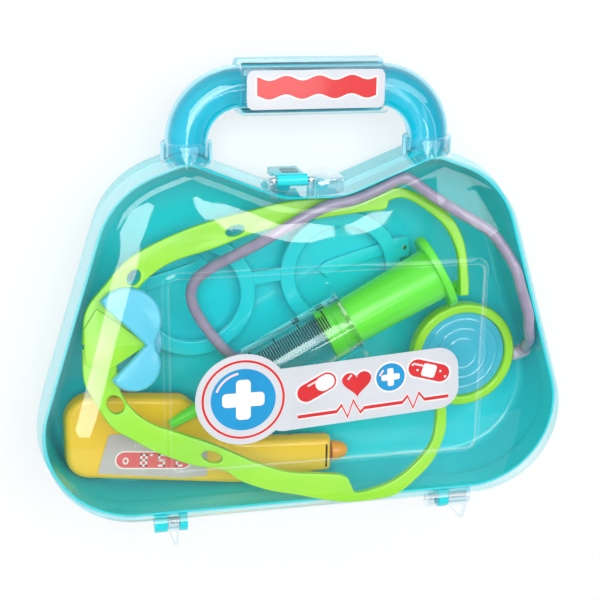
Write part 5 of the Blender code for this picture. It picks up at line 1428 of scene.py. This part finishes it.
def make_floor():
    """Pale floor: seen as white, but it keeps part of the shadow."""
    z = final_box[0][2] - FLOOR_GAP
    mesh = bpy.data.meshes.new("floor")
    mesh.from_pydata([(x * FLOOR_HALF, y * FLOOR_HALF, z)
                      for x, y in ((-1, -1), (1, -1), (1, 1), (-1, 1))], [], [(0, 1, 2, 3)])
    floor = placed("floor", mesh)
    ground = Finish("floor", (0.9, 0.9, 0.9), 0.7)
    path = ground.node("ShaderNodeLightPath")
    rays = path.socket.node.outputs
    seen = (Value(ground, rays["Is Camera Ray"]).max(Value(ground, rays["Is Glossy Ray"]))
            .max(Value(ground, rays["Is Transmission Ray"])))
    white = ground.node("ShaderNodeEmission", inputs={"Color": (1, 1, 1), "Strength": 1.0})
    plain = Value(ground, ground.shader.outputs[0])
    mixed = ground.node("ShaderNodeMixShader", inputs=[seen * FLOOR_GLOW, plain, white])
    ground.surface(mixed)
    mesh.materials.append(ground.material)


def make_card(name, outline, strength):
    """A white card that only reflections see, flat at one height over the case."""
    points = np.array(outline, float)
    mesh = bpy.data.meshes.new(name)
    mesh.from_pydata(to_row(level(points, CARD_Z)), [], [list(range(len(points)))])
    card = placed(name, mesh)
    paint = Finish(name, (1, 1, 1), 0.5)
    mirrored = paint.node("ShaderNodeLightPath", out=3)
    glow = paint.node("ShaderNodeEmission", inputs={"Color": (1, 1, 1), "Strength": strength})
    clear = paint.node("ShaderNodeBsdfTransparent")
    mixed = paint.node("ShaderNodeMixShader", inputs=[mirrored, clear, glow])
    paint.surface(mixed)
    mesh.materials.append(paint.material)


def make_lamp(name, place, size, power):
    """A square soft lamp that looks at the case."""
    lamp = bpy.data.lights.new(name, "AREA")
    lamp.size = size
    lamp.energy = power
    holder = placed(name, lamp)
    holder.location = place
    holder.rotation_euler = (-Vector(place)).to_track_quat("-Z", "Y").to_euler()


def make_world():
    """White backdrop all round that darkens towards the zenith."""
    world = bpy.data.worlds.new("world")
    bpy.context.scene.world = world
    world.use_nodes = True
    tree = world.node_tree
    way = tree.nodes.new("ShaderNodeTexCoord")
    parts = tree.nodes.new("ShaderNodeSeparateXYZ")
    fade = tree.nodes.new("ShaderNodeMapRange")
    fade.interpolation_type = "SMOOTHSTEP"
    for key, value in (("From Min", 0.25), ("From Max", 0.75), ("To Min", 1.0), ("To Max", 0.42)):
        fade.inputs[key].default_value = value
    tree.links.new(way.outputs["Generated"], parts.inputs[0])
    tree.links.new(parts.outputs[2], fade.inputs["Value"])
    tree.links.new(fade.outputs[0], tree.nodes["Background"].inputs["Strength"])
    tree.nodes["Background"].inputs["Color"].default_value = (1, 1, 1, 1)


final_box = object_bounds()
make_floor()
for name, (strength, outline) in CARDS.items():
    make_card(name, outline, strength)
make_lamp("key", (-0.35, 0.45, 1.35), 0.8, 10.5)
make_lamp("fill", (0.55, 0.45, 1.25), 0.8, 6.5)
make_world()
bpy.context.scene.view_settings.view_transform = "Standard"
